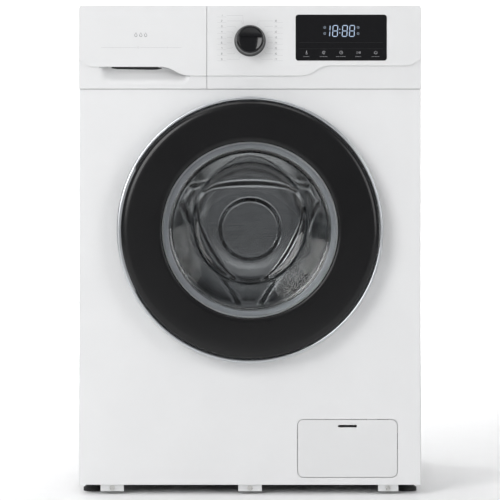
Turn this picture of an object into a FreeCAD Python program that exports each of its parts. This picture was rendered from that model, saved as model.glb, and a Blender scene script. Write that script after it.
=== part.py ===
import FreeCAD, Part
import math
import os

# Front-loading washing machine.
# Millimetres. Origin at the middle of the footprint, at floor height.
# +Z is up, the door faces -Y, +X is to the right of someone facing the door.

V = FreeCAD.Vector
os.makedirs("parts", exist_ok=True)

# ---------------------------------------------------------------- overall size
WIDTH = 595.0
HEIGHT = 850.0
CABINET_DEPTH = 520.0
DOOR_PROUD = 38.0
REAR_PROUD = 20.0

# ---------------------------------------------------------------- cabinet
SHEET = 1.0
FLANGE = 18.0
SEAM = 0.6
PANEL_BOTTOM = 17.0
FRONT_WRAP = 22.0
FRONT_EDGE_R = 4.0
TOP_CORNER_R = 6.0
TOP_THICK = 16.0
TOP_BOARD = 8.0
TOP_SKIRT_WALL = 12.0
BASE_HEIGHT = 27.0
BASE_BORDER = 34.0
BASE_WALL = 3.0
BEAM_WIDTH = 60.0

# ---------------------------------------------------------------- control panel
FASCIA_HEIGHT = 145.0
FASCIA_DEPTH = 22.0
FASCIA_WALL = 2.5
LOWER_PROUD = 3.0
UPPER_PROUD = 6.0
DRAWER_SPLIT_X = -75.0
DRAWER_SEAM = 0.4
KNOB_DROP = 62.0
KNOB_BASE_R = 27.5
KNOB_FACE_R = 23.0
KNOB_HEIGHT = 27.5
KNOB_SHAFT_R = 3.0
DISPLAY_X0 = 79.0
DISPLAY_WIDTH = 158.5
DISPLAY_HEIGHT = 80.0
DISPLAY_DROP = 16.5
DISPLAY_CORNER_R = 5.0
LENS_THICK = 2.0

# ---------------------------------------------------------------- dispenser drawer
DRAWER_BACK = 2.0
POCKET_X0 = -262.0
POCKET_X1 = -103.0
POCKET_RISE = 7.0
POCKET_ROOF = 47.0
POCKET_DEPTH = 19.0
POCKET_WALL = 2.0
TRAY_FLOOR_RISE = 55.0
TRAY_HEIGHT = 62.0
TRAY_DEPTH = 262.0
TRAY_WALL = 2.0
TRAY_GAP = 1.5
HOUSING_SIDE_INSET = 12.0
HOUSING_SPLIT_INSET = 20.0
HOUSING_FLOOR_RISE = 23.0
HOUSING_DEPTH = 280.0
HOUSING_WALL = 2.0

# ---------------------------------------------------------------- door
DOOR_R = 230.0
DOOR_TOP_GAP = 15.0
DOOR_BACK_GAP = 3.0
WINDOW_R = 152.0
GLASS_R = 162.0
GLASS_THICK = 4.8
BOWL_RIM_R = 137.0
BOWL_END_X = 108.0
BOWL_END_Z = 116.0
BOWL_END_RAISE = 14.0
BOWL_DEPTH = 88.0
HOLE_R = 168.0
COLLAR_DEPTH = 14.0
HINGE_INSET = 8.0
HINGE_FORWARD = 20.0
HINGE_PIN_R = 3.0
KNUCKLE_R = 5.5
KNUCKLE_Z0 = 27.0
KNUCKLE_Z1 = 41.0
GRIP_HALF_ANGLE = 28.0
HOOK_RADIUS = 184.0
HOOK_PIN_FORWARD = 14.0
SCREW_HEAD_R = 4.7
SCREW_HEAD_H = 1.6

# ---------------------------------------------------------------- filter flap and pump
FLAP_X0 = 83.0
FLAP_WIDTH = 172.8
FLAP_Z0 = 30.3
FLAP_HEIGHT = 99.7
FLAP_THICK = 3.0
FLAP_CORNER_R = 10.0
FLAP_GAP = 1.0
FLAP_PIVOT_DEPTH = 4.0
FLAP_PIVOT_RISE = 15.0
FLAP_PIN_R = 1.8
FILTER_R = 30.4
PUMP_BORE_R = 30.9
PUMP_R = 34.0
PUMP_Z = 80.0
PUMP_LENGTH = 91.0
PUMP_SETBACK = 21.0

# ---------------------------------------------------------------- tub and drum
TUB_R = 262.0
TUB_WALL = 4.0
TUB_FLANGE_R = 270.0
TUB_SETBACK = 75.0
TUB_LENGTH = 355.0
TUB_SEAM = 146.0
NECK_R = 165.0
NECK_LENGTH = 19.0
HUB_R = 48.0
HUB_LENGTH = 22.0
SHAFT_R = 15.0
DRUM_R = 240.0
DRUM_SHEET = 1.0
DRUM_MOUTH_R = 150.0
DRUM_INSET = 12.0
DRUM_LENGTH = 290.0
PULLEY_R = 140.0
PULLEY_WIDTH = 22.0
PULLEY_GAP = 14.0
MOTOR_PULLEY_R = 11.0
MOTOR_X = 95.0
MOTOR_DROP = 335.0
MOTOR_R = 60.0
MOTOR_SHAFT_R = 6.0
BELT_THICK = 4.0
BELT_WIDTH = 14.0

# ---------------------------------------------------------------- suspension and feet
SPRING_X = 225.0
SPRING_SETBACK = 351.0
SPRING_R = 14.0
SPRING_LUG_TOP = 180.0
DAMPER_BASE_X = 215.0
DAMPER_BASE_Z = 62.0
DAMPER_TOP_X = 165.0
DAMPER_DROP = 228.0
DAMPER_SETBACK = 251.0
DAMPER_R = 16.0
DAMPER_PIN_R = 4.0
FOOT_INSET_X = 21.5
FOOT_INSET_Y = 58.0
FOOT_PAD_R = 18.0
FOOT_PAD_H = 10.5
FOOT_STUD_R = 5.0
LOCK_NUT_H = 6.5

# ---------------------------------------------------------------- fits
RUNNING = 0.05
OPEN_PIVOT = 0.6
CLEAR = 0.3

# ---------------------------------------------------------------- worked out
X_SIDE = WIDTH / 2
Y_FRONT = DOOR_PROUD - (CABINET_DEPTH + DOOR_PROUD + REAR_PROUD) / 2
Y_BACK = Y_FRONT + CABINET_DEPTH
Z_TOP = HEIGHT - TOP_THICK
Z_SPLIT = HEIGHT - FASCIA_HEIGHT
AXIS_Z = Z_SPLIT - DOOR_TOP_GAP - DOOR_R
X_INNER = X_SIDE - SHEET
X_FIT = X_INNER - CLEAR
Y_TUB = Y_FRONT + TUB_SETBACK
Y_TUB_SEAM = Y_TUB + TUB_SEAM
Y_TUB_BACK = Y_TUB + TUB_LENGTH
Y_DRUM = Y_TUB + DRUM_INSET
Y_DRUM_BACK = Y_DRUM + DRUM_LENGTH
Y_PULLEY = Y_TUB_BACK + PULLEY_GAP
MOTOR_Z = AXIS_Z - MOTOR_DROP
KNOB_Z = HEIGHT - KNOB_DROP
DISPLAY_X1 = DISPLAY_X0 + DISPLAY_WIDTH
DISPLAY_Z1 = HEIGHT - DISPLAY_DROP
DISPLAY_Z0 = DISPLAY_Z1 - DISPLAY_HEIGHT
HINGE_X = DOOR_R - HINGE_INSET
HINGE_Y = Y_FRONT - HINGE_FORWARD
FOOT_X = X_SIDE - FOOT_INSET_X
FOOT_Y_FRONT = Y_FRONT + FOOT_INSET_Y
FOOT_Y_BACK = Y_BACK - FOOT_INSET_Y
BASE_Z0 = PANEL_BOTTOM + SHEET
BASE_Z1 = BASE_Z0 + BASE_HEIGHT
FLAP_X1 = FLAP_X0 + FLAP_WIDTH
FLAP_Z1 = FLAP_Z0 + FLAP_HEIGHT
PUMP_X = (FLAP_X0 + FLAP_X1) / 2
Y_PUMP = Y_FRONT + PUMP_SETBACK
HOUSING_X0 = -X_SIDE + HOUSING_SIDE_INSET
HOUSING_X1 = DRAWER_SPLIT_X - HOUSING_SPLIT_INSET
HOUSING_Z0 = Z_SPLIT + HOUSING_FLOOR_RISE
HOUSING_Z1 = Z_TOP - SHEET
Y_HOUSING = Y_FRONT + FASCIA_DEPTH
TRAY_X0 = HOUSING_X0 + HOUSING_WALL + TRAY_GAP
TRAY_X1 = HOUSING_X1 - HOUSING_WALL - TRAY_GAP
TRAY_Z0 = Z_SPLIT + TRAY_FLOOR_RISE
TRAY_Z1 = TRAY_Z0 + TRAY_HEIGHT
Y_TRAY = Y_FRONT + DRAWER_BACK
SPRING_Y = Y_FRONT + SPRING_SETBACK
DAMPER_Y = Y_FRONT + DAMPER_SETBACK
DAMPER_TOP_Z = AXIS_Z - DAMPER_DROP
VALVE_X = HOUSING_X0 + 21.5
VALVE_Z = Z_TOP - 50.0
OUTLET_X = X_SIDE - 35.5
OUTLET_Z = Z_TOP - 119.0
GLAND_X = X_SIDE - 100.0
GLAND_Z = Z_TOP - 134.0
SUMP_X = PUMP_X - 19.4
SUMP_Y = Y_FRONT + 91.0
FILL_X = -150.0
FILL_Y = Y_FRONT + 281.0


# ---------------------------------------------------------------- shared shapes
def box(x0, x1, y0, y1, z0, z1):
    return Part.makeBox(x1 - x0, y1 - y0, z1 - z0, V(x0, y0, z0))


def rod_x(radius, y, z, x0, x1):
    return Part.makeCylinder(radius, x1 - x0, V(x0, y, z), V(1, 0, 0))


def rod_y(radius, x, z, y0, y1):
    return Part.makeCylinder(radius, y1 - y0, V(x, y0, z), V(0, 1, 0))


def rod_z(radius, x, y, z0, z1):
    return Part.makeCylinder(radius, z1 - z0, V(x, y, z0), V(0, 0, 1))


def ring_y(outer, inner, x, z, y0, y1):
    return rod_y(outer, x, z, y0, y1).cut(rod_y(inner, x, z, y0 - 1, y1 + 1))


def turned(profile, x=0.0, z=AXIS_Z):
    """A (radius, y) outline turned once round the line through x, z along Y."""
    points = [V(x + radius, y, z) for radius, y in profile]
    face = Part.Face(Part.makePolygon(points + points[:1]))
    return face.revolve(V(x, 0, z), V(0, 1, 0), 360)


def extruded_y(wire, y0, y1):
    """A closed outline in an XZ plane, pushed from y0 to y1."""
    face = Part.Face(wire)
    start = face.BoundBox.YMin
    face.translate(V(0, y0 - start, 0))
    return face.extrude(V(0, y1 - y0, 0))


def fillet_along(shape, direction, radius, keep=None):
    """Round the straight edges that run along a direction."""
    edges = []
    for edge in shape.Edges:
        if edge.Curve.TypeId != "Part::GeomLine":
            continue
        if edge.Curve.Direction.cross(direction).Length > 1e-6:
            continue
        if keep is None or keep(edge.CenterOfMass):
            edges.append(edge)
    return shape.makeFillet(radius, edges)


def rounded_plate(x0, x1, y0, y1, z0, z1, radius):
    return fillet_along(box(x0, x1, y0, y1, z0, z1), V(0, 1, 0), radius)


def joined(pieces):
    shape = pieces[0].multiFuse(pieces[1:])
    return shape.removeSplitter()


def around_axis(shape, angle):
    """A copy turned about the drum's axis."""
    copy = shape.copy()
    copy.rotate(V(0, 0, AXIS_Z), V(0, 1, 0), angle)
    return copy


def sector(radius, y0, y1, start, end):
    """A pie slice about the drum's axis; angles from +X towards +Z."""
    points = [V(0, y0, AXIS_Z)]
    steps = max(2, int(abs(end - start) / 30) + 1)
    reach = radius / math.cos(math.radians((end - start) / steps / 2))
    for step in range(steps + 1):
        angle = math.radians(start + (end - start) * step / steps)
        points.append(V(reach * math.cos(angle), y0, AXIS_Z + reach * math.sin(angle)))
    return Part.Face(Part.makePolygon(points + points[:1])).extrude(V(0, y1 - y0, 0))


def bent_tube(points, bends, outer, inner):
    """A hose along straight runs joined by tangent arcs."""
    edges = []
    last = points[0]
    for index, radius in enumerate(bends, start=1):
        corner = points[index]
        back = (points[index - 1] - corner).normalize()
        ahead = (points[index + 1] - corner).normalize()
        half = back.getAngle(ahead) / 2
        setback = radius / math.tan(half)
        centre = corner + (back + ahead).normalize() * (radius / math.sin(half))
        middle = centre + (corner - centre).normalize() * radius
        start = corner + back * setback
        end = corner + ahead * setback
        edges.append(Part.LineSegment(last, start).toShape())
        edges.append(Part.Arc(start, middle, end).toShape())
        last = end
    edges.append(Part.LineSegment(last, points[-1]).toShape())
    path = Part.Wire(edges)
    along = (points[1] - points[0]).normalize()
    solids = []
    for radius in (outer, inner):
        circle = Part.Wire(Part.makeCircle(radius, points[0], along))
        solids.append(path.makePipeShell([circle], True, False))
    return solids[0].cut(solids[1])


def save(name, shape):
    shape.exportStep("parts/" + name + ".step")
    print(name, len(shape.Solids), "solid", round(shape.Volume / 1000.0, 1), "cm3", shape.isValid())


# ---------------------------------------------------------------- cabinet
def side_panel(side):
    inner = X_INNER - FLANGE
    y0 = Y_FRONT + FRONT_WRAP + SEAM
    pieces = [
        box(X_INNER, X_SIDE, y0, Y_BACK, PANEL_BOTTOM, Z_TOP),
        box(inner, X_INNER, y0, Y_BACK - SHEET, PANEL_BOTTOM, BASE_Z0),
        box(inner, X_INNER, y0, Y_BACK - SHEET, Z_TOP - SHEET, Z_TOP),
        box(inner, X_INNER, y0, y0 + SHEET, PANEL_BOTTOM, Z_SPLIT),
        box(inner, X_INNER, Y_BACK - 2 * SHEET, Y_BACK - SHEET, PANEL_BOTTOM, Z_TOP),
    ]
    panel = joined(pieces)
    shelf = Z_TOP - HANGER_DROP
    half = HANGER_HALF
    web = HANGER_THICK / 2
    hanger = box(SPRING_X - half, X_INNER, SPRING_Y - half, SPRING_Y + half, shelf, shelf + HANGER_THICK)
    hanger_web = box(X_INNER - half - 2, X_INNER, SPRING_Y - web, SPRING_Y + web, shelf - 2 * half, shelf)
    panel = joined([panel, hanger, hanger_web])
    panel = panel.cut(rod_z(HOOK_HOLE_R, SPRING_X, SPRING_Y, shelf - 4, shelf + 6))
    foot_hole = FOOT_STUD_R + 5
    for y in (FOOT_Y_FRONT, FOOT_Y_BACK):
        panel = panel.cut(rod_z(foot_hole, FOOT_X, y, PANEL_BOTTOM - 1, BASE_Z0 + 0.01))
    if side < 0:
        panel = panel.mirror(V(0, 0, 0), V(1, 0, 0))
    return panel


TRANSIT_PLACES = [
    (-215.0, AXIS_Z - 160.0),
    (215.0, AXIS_Z - 160.0),
    (-215.0, AXIS_Z + 160.0),
    (215.0, AXIS_Z + 160.0),
]
REAR_OPENING_R = 185.0
REAR_COVER_R = 204.0
TRANSIT_R = 12.0
VALVE_HOLE_R = 16.0
VALVE_COLLAR_R = 14.4
OUTLET_HOLE_R = 13.0
INLET_THREAD_R = 13.2
SPIGOT_R = 9.0
GLAND_HOLE_R = 8.0
LOUVRE_ROWS = 6
LOUVRE_PITCH = 9.0
LOUVRE_HEIGHT = 3.5
LOUVRE_NEAR = 60.0
LOUVRE_FAR = 160.0
LOUVRE_RISE = 40.0
HANGER_HALF = 12.0
HANGER_DROP = 36.0
HANGER_THICK = 3.0
HOOK_HOLE_R = 3.0


def back_hole(radius, x, z):
    return rod_y(radius, x, z, Y_BACK - 2 * SHEET, Y_BACK + SHEET)


def rear_wall():
    wall = box(-X_FIT, X_FIT, Y_BACK - SHEET, Y_BACK, BASE_Z0, Z_TOP - CLEAR)
    holes = [
        back_hole(REAR_OPENING_R, 0, AXIS_Z),
        back_hole(VALVE_HOLE_R, VALVE_X, VALVE_Z),
        back_hole(OUTLET_HOLE_R, OUTLET_X, OUTLET_Z),
        back_hole(GLAND_HOLE_R, GLAND_X, GLAND_Z),
    ]
    for x, z in TRANSIT_PLACES:
        holes.append(back_hole(TRANSIT_R, x, z))
    for row in range(LOUVRE_ROWS):
        z = BASE_Z1 + LOUVRE_RISE + row * LOUVRE_PITCH
        for x0, x1 in ((-LOUVRE_FAR, -LOUVRE_NEAR), (LOUVRE_NEAR, LOUVRE_FAR)):
            holes.append(box(x0, x1, Y_BACK - 2 * SHEET, Y_BACK + SHEET, z, z + LOUVRE_HEIGHT))
    return wall.cut(holes[0].multiFuse(holes[1:]))


def rear_service_cover():
    face = Y_BACK + REAR_PROUD
    skin = 1.2
    return turned([
        (0, face),
        (REAR_OPENING_R - 10, face),
        (REAR_OPENING_R + 5, Y_BACK + skin),
        (REAR_COVER_R, Y_BACK + skin),
        (REAR_COVER_R, Y_BACK),
        (REAR_OPENING_R + 4, Y_BACK),
        (REAR_OPENING_R - 11, face - skin),
        (0, face - skin),
    ])


def top_cover():
    y0 = Y_FRONT + FASCIA_DEPTH + SEAM
    board = box(-X_SIDE, X_SIDE, y0, Y_BACK, Z_TOP, HEIGHT)
    board = fillet_along(board, V(0, 0, 1), TOP_CORNER_R, lambda c: c.y > 0)
    edges = [e for e in board.Edges if e.BoundBox.ZMin > HEIGHT - 0.01 and e.BoundBox.YMax > y0 + 1]
    board = board.makeFillet(3.0, edges)
    wall = TOP_SKIRT_WALL
    inside = box(-X_INNER + wall, X_INNER - wall, y0 + wall, Y_BACK - wall, Z_TOP - 1, HEIGHT - TOP_BOARD)
    ribs = [box(-X_SIDE + 10, X_SIDE - 10, y - 2, y + 2, Z_TOP, HEIGHT - TOP_BOARD + 0.5)
            for y in (y0 + CABINET_DEPTH / 3, y0 + CABINET_DEPTH * 2 / 3)]
    return joined([board.cut(inside)] + ribs)


def flap_outline(gap, y0, y1):
    return rounded_plate(FLAP_X0 - gap, FLAP_X1 + gap, y0, y1, FLAP_Z0 - gap, FLAP_Z1 + gap,
                         FLAP_CORNER_R + gap)


def front_panel():
    y1 = Y_FRONT + FRONT_WRAP
    z1 = Z_SPLIT - SEAM
    outer = box(-X_SIDE, X_SIDE, Y_FRONT, y1, PANEL_BOTTOM, z1)
    outer = fillet_along(outer, V(0, 0, 1), FRONT_EDGE_R, lambda c: c.y < Y_FRONT + 1)
    inner = box(-X_INNER, X_INNER, Y_FRONT + SHEET, y1 + 5, PANEL_BOTTOM + SHEET, z1 - SHEET)
    inner = fillet_along(inner, V(0, 0, 1), FRONT_EDGE_R - SHEET, lambda c: c.y < Y_FRONT + 2)
    panel = outer.cut(inner)
    panel = panel.cut(rod_y(HOLE_R, 0, AXIS_Z, Y_FRONT - 1, Y_FRONT + 3))
    collar = ring_y(HOLE_R + SHEET, HOLE_R, 0, AXIS_Z, Y_FRONT, Y_FRONT + COLLAR_DEPTH)
    ears = []
    ear_z = FLAP_Z0 + FLAP_PIVOT_RISE
    for x0, x1 in ((FLAP_X0 - 8, FLAP_X0 - 2), (FLAP_X1 + 2, FLAP_X1 + 8)):
        ears.append(box(x0, x1, Y_FRONT + SHEET, Y_FRONT + 9, ear_z - 8, ear_z + 8))
    panel = joined([panel, collar] + ears)
    panel = panel.cut(flap_outline(FLAP_GAP, Y_FRONT - 1, Y_FRONT + SHEET + 0.5))
    pin_bore = rod_x(FLAP_PIN_R + RUNNING, Y_FRONT + FLAP_PIVOT_DEPTH, FLAP_Z0 + FLAP_PIVOT_RISE,
                     FLAP_X0 - 10, FLAP_X1 + 10)
    panel = panel.cut(pin_bore)
    slot = box(-HOOK_RADIUS - 8, -HOOK_RADIUS + 8, Y_FRONT - 1, Y_FRONT + 2, AXIS_Z - 16, AXIS_Z + 16)
    return panel.cut(slot)


TAB_PLACES = [(-260.0, -219.6), (-20.5, 20.5), (222.8, 258.0)]
TAB_Z0 = 5.4
TAB_SETBACK = 3.0
TAB_WALL = 3.0


def base_frame():
    y0 = Y_FRONT + FRONT_WRAP + SEAM + SHEET + CLEAR
    y1 = Y_BACK - 2 * SHEET - CLEAR
    frame = box(-X_FIT, X_FIT, y0, y1, BASE_Z0, BASE_Z1)
    border = BASE_BORDER
    hollow = box(-X_FIT + BASE_WALL, X_FIT - BASE_WALL, y0 + BASE_WALL, y1 - BASE_WALL,
                 BASE_Z0 + BASE_WALL, BASE_Z1 + 1)
    opening = box(-X_FIT + border, X_FIT - border, y0 + border, y1 - border, BASE_Z0 - 1, BASE_Z1 + 1)
    frame = frame.cut(hollow).cut(opening)
    pieces = [frame]
    half = BEAM_WIDTH / 2
    beam_y0 = DAMPER_Y - half
    beam_y1 = DAMPER_Y + half
    pieces.append(box(-X_FIT, X_FIT, beam_y0, beam_y1, BASE_Z0, BASE_Z0 + BASE_WALL))
    pieces.append(box(-X_FIT, X_FIT, beam_y0, beam_y0 + BASE_WALL, BASE_Z0, BASE_Z1))
    pieces.append(box(-X_FIT, X_FIT, beam_y1 - BASE_WALL, beam_y1, BASE_Z0, BASE_Z1))
    pump_top = PUMP_Z - PUMP_R - 1
    pieces.append(box(PUMP_X - 30, PUMP_X + 30, y0, beam_y0 + BASE_WALL, pump_top - BASE_WALL, pump_top))
    pieces.append(box(PUMP_X - 2, PUMP_X + 2, y0, beam_y0 + BASE_WALL, BASE_Z0, pump_top))
    for x in (-FOOT_X, FOOT_X):
        for y in (FOOT_Y_FRONT, FOOT_Y_BACK):
            pieces.append(rod_z(FOOT_STUD_R + 8, x, y, BASE_Z0, BASE_Z1))
    for x in (-DAMPER_BASE_X, DAMPER_BASE_X):
        for y_a, y_b in ((DAMPER_Y - 15, DAMPER_Y - 9), (DAMPER_Y + 9, DAMPER_Y + 15)):
            pieces.append(box(x - 12, x + 12, y_a, y_b, BASE_Z0, DAMPER_BASE_Z + 10))
        pieces.append(rod_y(DAMPER_PIN_R, x, DAMPER_BASE_Z, DAMPER_Y - 15, DAMPER_Y + 15))
    for x0, x1 in TAB_PLACES:
        face = Y_FRONT + TAB_SETBACK
        under = PANEL_BOTTOM - CLEAR
        pieces.append(box(x0, x1, face, face + TAB_WALL, TAB_Z0, under))
        pieces.append(box(x0, x1, face, y0 + border, under - TAB_WALL, under))
        pieces.append(box(x0, x1, y0 + 1, y0 + border, under - TAB_WALL, BASE_Z0 + 1))
    frame = joined(pieces)
    for x in (-FOOT_X, FOOT_X):
        for y in (FOOT_Y_FRONT, FOOT_Y_BACK):
            frame = frame.cut(rod_z(FOOT_STUD_R + RUNNING, x, y, 0, BASE_Z1 + 1))
    return frame


# ---------------------------------------------------------------- control panel
def s_curve(x0, z0, x1, z1):
    """Two equal arcs, level at both ends, from one height to another."""
    dx = x1 - x0
    dz = z1 - z0
    radius = (dx * dx + dz * dz) / (4 * abs(dz))
    half_turn = math.asin(min(1.0, dx / 2 / radius)) / 2
    step_x = radius * math.sin(half_turn)
    step_z = math.copysign(radius * (1 - math.cos(half_turn)), dz)
    middle = V((x0 + x1) / 2, 0, (z0 + z1) / 2)
    first = Part.Arc(V(x0, 0, z0), V(x0 + step_x, 0, z0 + step_z), middle)
    second = Part.Arc(middle, V(x1 - step_x, 0, z1 - step_z), V(x1, 0, z1))
    return [first.toShape(), second.toShape()]


# Heights of the crease above the bottom of the control panel, left to right.
CREASE_OUTER = 50.0
CREASE_HANDLE = 38.0
CREASE_LOW = 22.5
CREASE_RIGHT = 40.0
CREASE_SHOULDER = 24.0
CREASE_DIP_X0 = -156.0
CREASE_RISE_X0 = 88.0
CREASE_RISE_X1 = 140.0


def raised_zone():
    """The upper, prouder part of the control panel, over the whole width."""
    handle = Z_SPLIT + CREASE_HANDLE
    low = Z_SPLIT + CREASE_LOW
    right = Z_SPLIT + CREASE_RIGHT
    outer = Z_SPLIT + CREASE_OUTER
    left_x = -X_SIDE + CREASE_SHOULDER
    right_x = X_SIDE - CREASE_SHOULDER
    edges = s_curve(-X_SIDE, outer, left_x, handle)
    edges.append(Part.LineSegment(V(left_x, 0, handle), V(CREASE_DIP_X0, 0, handle)).toShape())
    edges += s_curve(CREASE_DIP_X0, handle, POCKET_X1, low)
    edges.append(Part.LineSegment(V(POCKET_X1, 0, low), V(CREASE_RISE_X0, 0, low)).toShape())
    edges += s_curve(CREASE_RISE_X0, low, CREASE_RISE_X1, right)
    edges.append(Part.LineSegment(V(CREASE_RISE_X1, 0, right), V(right_x, 0, right)).toShape())
    edges += s_curve(right_x, right, X_SIDE, outer)
    corners = [V(X_SIDE, 0, outer), V(X_SIDE, 0, HEIGHT), V(-X_SIDE, 0, HEIGHT), V(-X_SIDE, 0, outer)]
    for start, end in zip(corners, corners[1:]):
        edges.append(Part.LineSegment(start, end).toShape())
    face = Part.Face(Part.Wire(edges))
    face.translate(V(0, Y_FRONT - UPPER_PROUD, 0))
    return face.extrude(V(0, UPPER_PROUD - LOWER_PROUD, 0))


def top_corners(shape, side):
    """Round the top outer corner of a control panel piece."""
    edge = side * X_SIDE
    return fillet_along(shape, V(0, 1, 0), TOP_CORNER_R,
                        lambda c: abs(c.x - edge) < 0.01 and abs(c.z - HEIGHT) < 0.01)


def control_fascia():
    x0 = DRAWER_SPLIT_X + DRAWER_SEAM
    y_face = Y_FRONT - LOWER_PROUD
    y1 = Y_FRONT + FASCIA_DEPTH
    slab = box(x0, X_SIDE, y_face, y1, Z_SPLIT, HEIGHT)
    upper = raised_zone().common(box(x0, X_SIDE + 1, y_face - 10, y_face + 0.01, 0, HEIGHT + 1))
    front = top_corners(joined([slab, upper]), 1)
    wall = FASCIA_WALL
    front = front.cut(box(x0 + wall, X_SIDE - wall, y_face + wall, y1 + 1, Z_SPLIT + wall, HEIGHT - wall))
    y_rim = Y_FRONT + DRAWER_BACK + SEAM
    rim = box(-X_SIDE, x0 + wall, y_rim, y1, Z_SPLIT, HEIGHT)
    rim = top_corners(rim, -1)
    rim = rim.cut(box(HOUSING_X0 + 2, HOUSING_X1 - 2, y_rim - 1, y1 + 1, Z_SPLIT + 3.5, HOUSING_Z1 - 4))
    front = joined([front, rim])
    y_lens = Y_FRONT - UPPER_PROUD + LENS_THICK + 0.2
    front = front.cut(rounded_plate(DISPLAY_X0, DISPLAY_X1, y_face - 10, y_lens, DISPLAY_Z0, DISPLAY_Z1,
                                    DISPLAY_CORNER_R))
    front = front.cut(rounded_plate(DISPLAY_X0 + 4, DISPLAY_X1 - 4, y_face - 10, y_face + 10,
                                    DISPLAY_Z0 + 4, DISPLAY_Z1 - 4, DISPLAY_CORNER_R))
    return front.cut(rod_y(KNOB_SHAFT_R + 1, 0, KNOB_Z, y_face - 10, y_face + 10))


def display_lens():
    y0 = Y_FRONT - UPPER_PROUD + 0.2
    gap = CLEAR / 2
    return rounded_plate(DISPLAY_X0 + gap, DISPLAY_X1 - gap, y0, y0 + LENS_THICK, DISPLAY_Z0 + gap,
                         DISPLAY_Z1 - gap, DISPLAY_CORNER_R - gap)


def display_board():
    y_board = Y_FRONT + 14
    pieces = [box(-24, DISPLAY_X1 + 5, y_board, y_board + 1.6, DISPLAY_Z0 - 3, DISPLAY_Z1)]
    pieces.append(rod_y(12, 0, KNOB_Z, Y_FRONT, y_board))
    middle = (DISPLAY_X0 + DISPLAY_X1) / 2
    pieces.append(box(middle - 32, middle + 32, Y_FRONT - 2, y_board, KNOB_Z + 2, KNOB_Z + 32))
    for index in range(5):
        x = middle + (index - 2) * 30
        pieces.append(rod_y(5, x, DISPLAY_Z0 + 14, Y_FRONT - 2, y_board))
    for index in range(3):
        pieces.append(box(26 + index * 16, 38 + index * 16, y_board - 7, y_board, KNOB_Z - 20, KNOB_Z - 4))
    board = joined(pieces)
    return board.cut(rod_y(KNOB_SHAFT_R + RUNNING, 0, KNOB_Z, Y_FRONT - 1, Y_FRONT + 11))


def programme_knob():
    y0 = Y_FRONT - UPPER_PROUD - SEAM
    face = y0 - KNOB_HEIGHT
    return turned([
        (0, face + 1.0),
        (KNOB_FACE_R - 4, face + 0.4),
        (KNOB_FACE_R - 2, face),
        (KNOB_FACE_R - 0.8, face + 0.8),
        (KNOB_FACE_R, face + 2.5),
        (KNOB_BASE_R - 0.8, y0 - 3),
        (KNOB_BASE_R, y0 - 1.5),
        (KNOB_BASE_R, y0),
        (KNOB_SHAFT_R, y0),
        (KNOB_SHAFT_R, Y_FRONT + 10.5),
        (0, Y_FRONT + 10.5),
    ], 0, KNOB_Z)


# ---------------------------------------------------------------- dispenser drawer
def drawer_front():
    x1 = DRAWER_SPLIT_X - DRAWER_SEAM
    y_face = Y_FRONT - LOWER_PROUD
    y_back = Y_FRONT + DRAWER_BACK
    slab = box(-X_SIDE, x1, y_face, y_back, Z_SPLIT, HEIGHT)
    wall = POCKET_WALL
    z0 = Z_SPLIT + POCKET_RISE
    z1 = Z_SPLIT + POCKET_ROOF
    y_deep = y_face + POCKET_DEPTH
    shell = box(POCKET_X0 - wall, POCKET_X1 + wall, y_back, y_deep + wall, z0 - wall, z1 + wall)
    scoop = POCKET_DEPTH - 1
    edges = [
        Part.LineSegment(V(0, y_face, z0), V(0, y_deep - scoop, z0)).toShape(),
        Part.Arc(V(0, y_deep - scoop, z0),
                 V(0, y_deep - scoop * (1 - math.sin(math.pi / 4)), z0 + scoop * (1 - math.cos(math.pi / 4))),
                 V(0, y_deep, z0 + scoop)).toShape(),
        Part.LineSegment(V(0, y_deep, z0 + scoop), V(0, y_deep, z1)).toShape(),
        Part.LineSegment(V(0, y_deep, z1), V(0, y_face, z1)).toShape(),
        Part.LineSegment(V(0, y_face, z1), V(0, y_face, z0)).toShape(),
    ]
    cavity = Part.Face(Part.Wire(edges)).extrude(V(POCKET_X1 - POCKET_X0, 0, 0))
    cavity.translate(V(POCKET_X0, 0, 0))
    lower = joined([slab, shell]).cut(cavity)
    upper = raised_zone().common(box(-X_SIDE - 1, x1, y_face - 10, y_face + 0.01, 0, HEIGHT + 1))
    return top_corners(joined([lower, upper]), -1)


def compartment_walls():
    """Places of the two walls that part the tray into three compartments."""
    width = TRAY_X1 - TRAY_X0
    return TRAY_X0 + width * 0.36, TRAY_X0 + width * 0.66


def drawer_tray():
    y1 = Y_TRAY + TRAY_DEPTH
    wall = TRAY_WALL
    tray = box(TRAY_X0, TRAY_X1, Y_TRAY, y1, TRAY_Z0, TRAY_Z1)
    bounds = [TRAY_X0] + list(compartment_walls()) + [TRAY_X1]
    for x0, x1 in zip(bounds, bounds[1:]):
        cell = box(x0 + wall, x1 - wall / 2, Y_TRAY + 3 * wall, y1 - wall, TRAY_Z0 + wall, TRAY_Z1 + 1)
        tray = tray.cut(fillet_along(cell, V(0, 0, 1), 6.0))
    mouth = box(TRAY_X0 + wall + 4, bounds[1] - wall - 4, y1 - wall - 1, y1 + 1, TRAY_Z0 + wall, TRAY_Z1 - 20)
    return tray.cut(mouth)


def siphon_cap():
    x0, x1 = compartment_walls()
    middle = (x0 + x1) / 2
    y1 = Y_TRAY + TRAY_DEPTH - 2 * TRAY_WALL
    z_plate = TRAY_Z1 - 14
    plate = box(x0 + 3, x1 - 2, y1 - 60, y1 - 1, z_plate, z_plate + 2)
    tube = rod_z(7, middle, y1 - 34, TRAY_Z0 + 5, z_plate + 1)
    tube = tube.cut(rod_z(5.4, middle, y1 - 34, TRAY_Z0, z_plate))
    grip = box(middle - 10, middle + 10, y1 - 50, y1 - 47, z_plate, z_plate + 8)
    return joined([plate, tube, grip])


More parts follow.
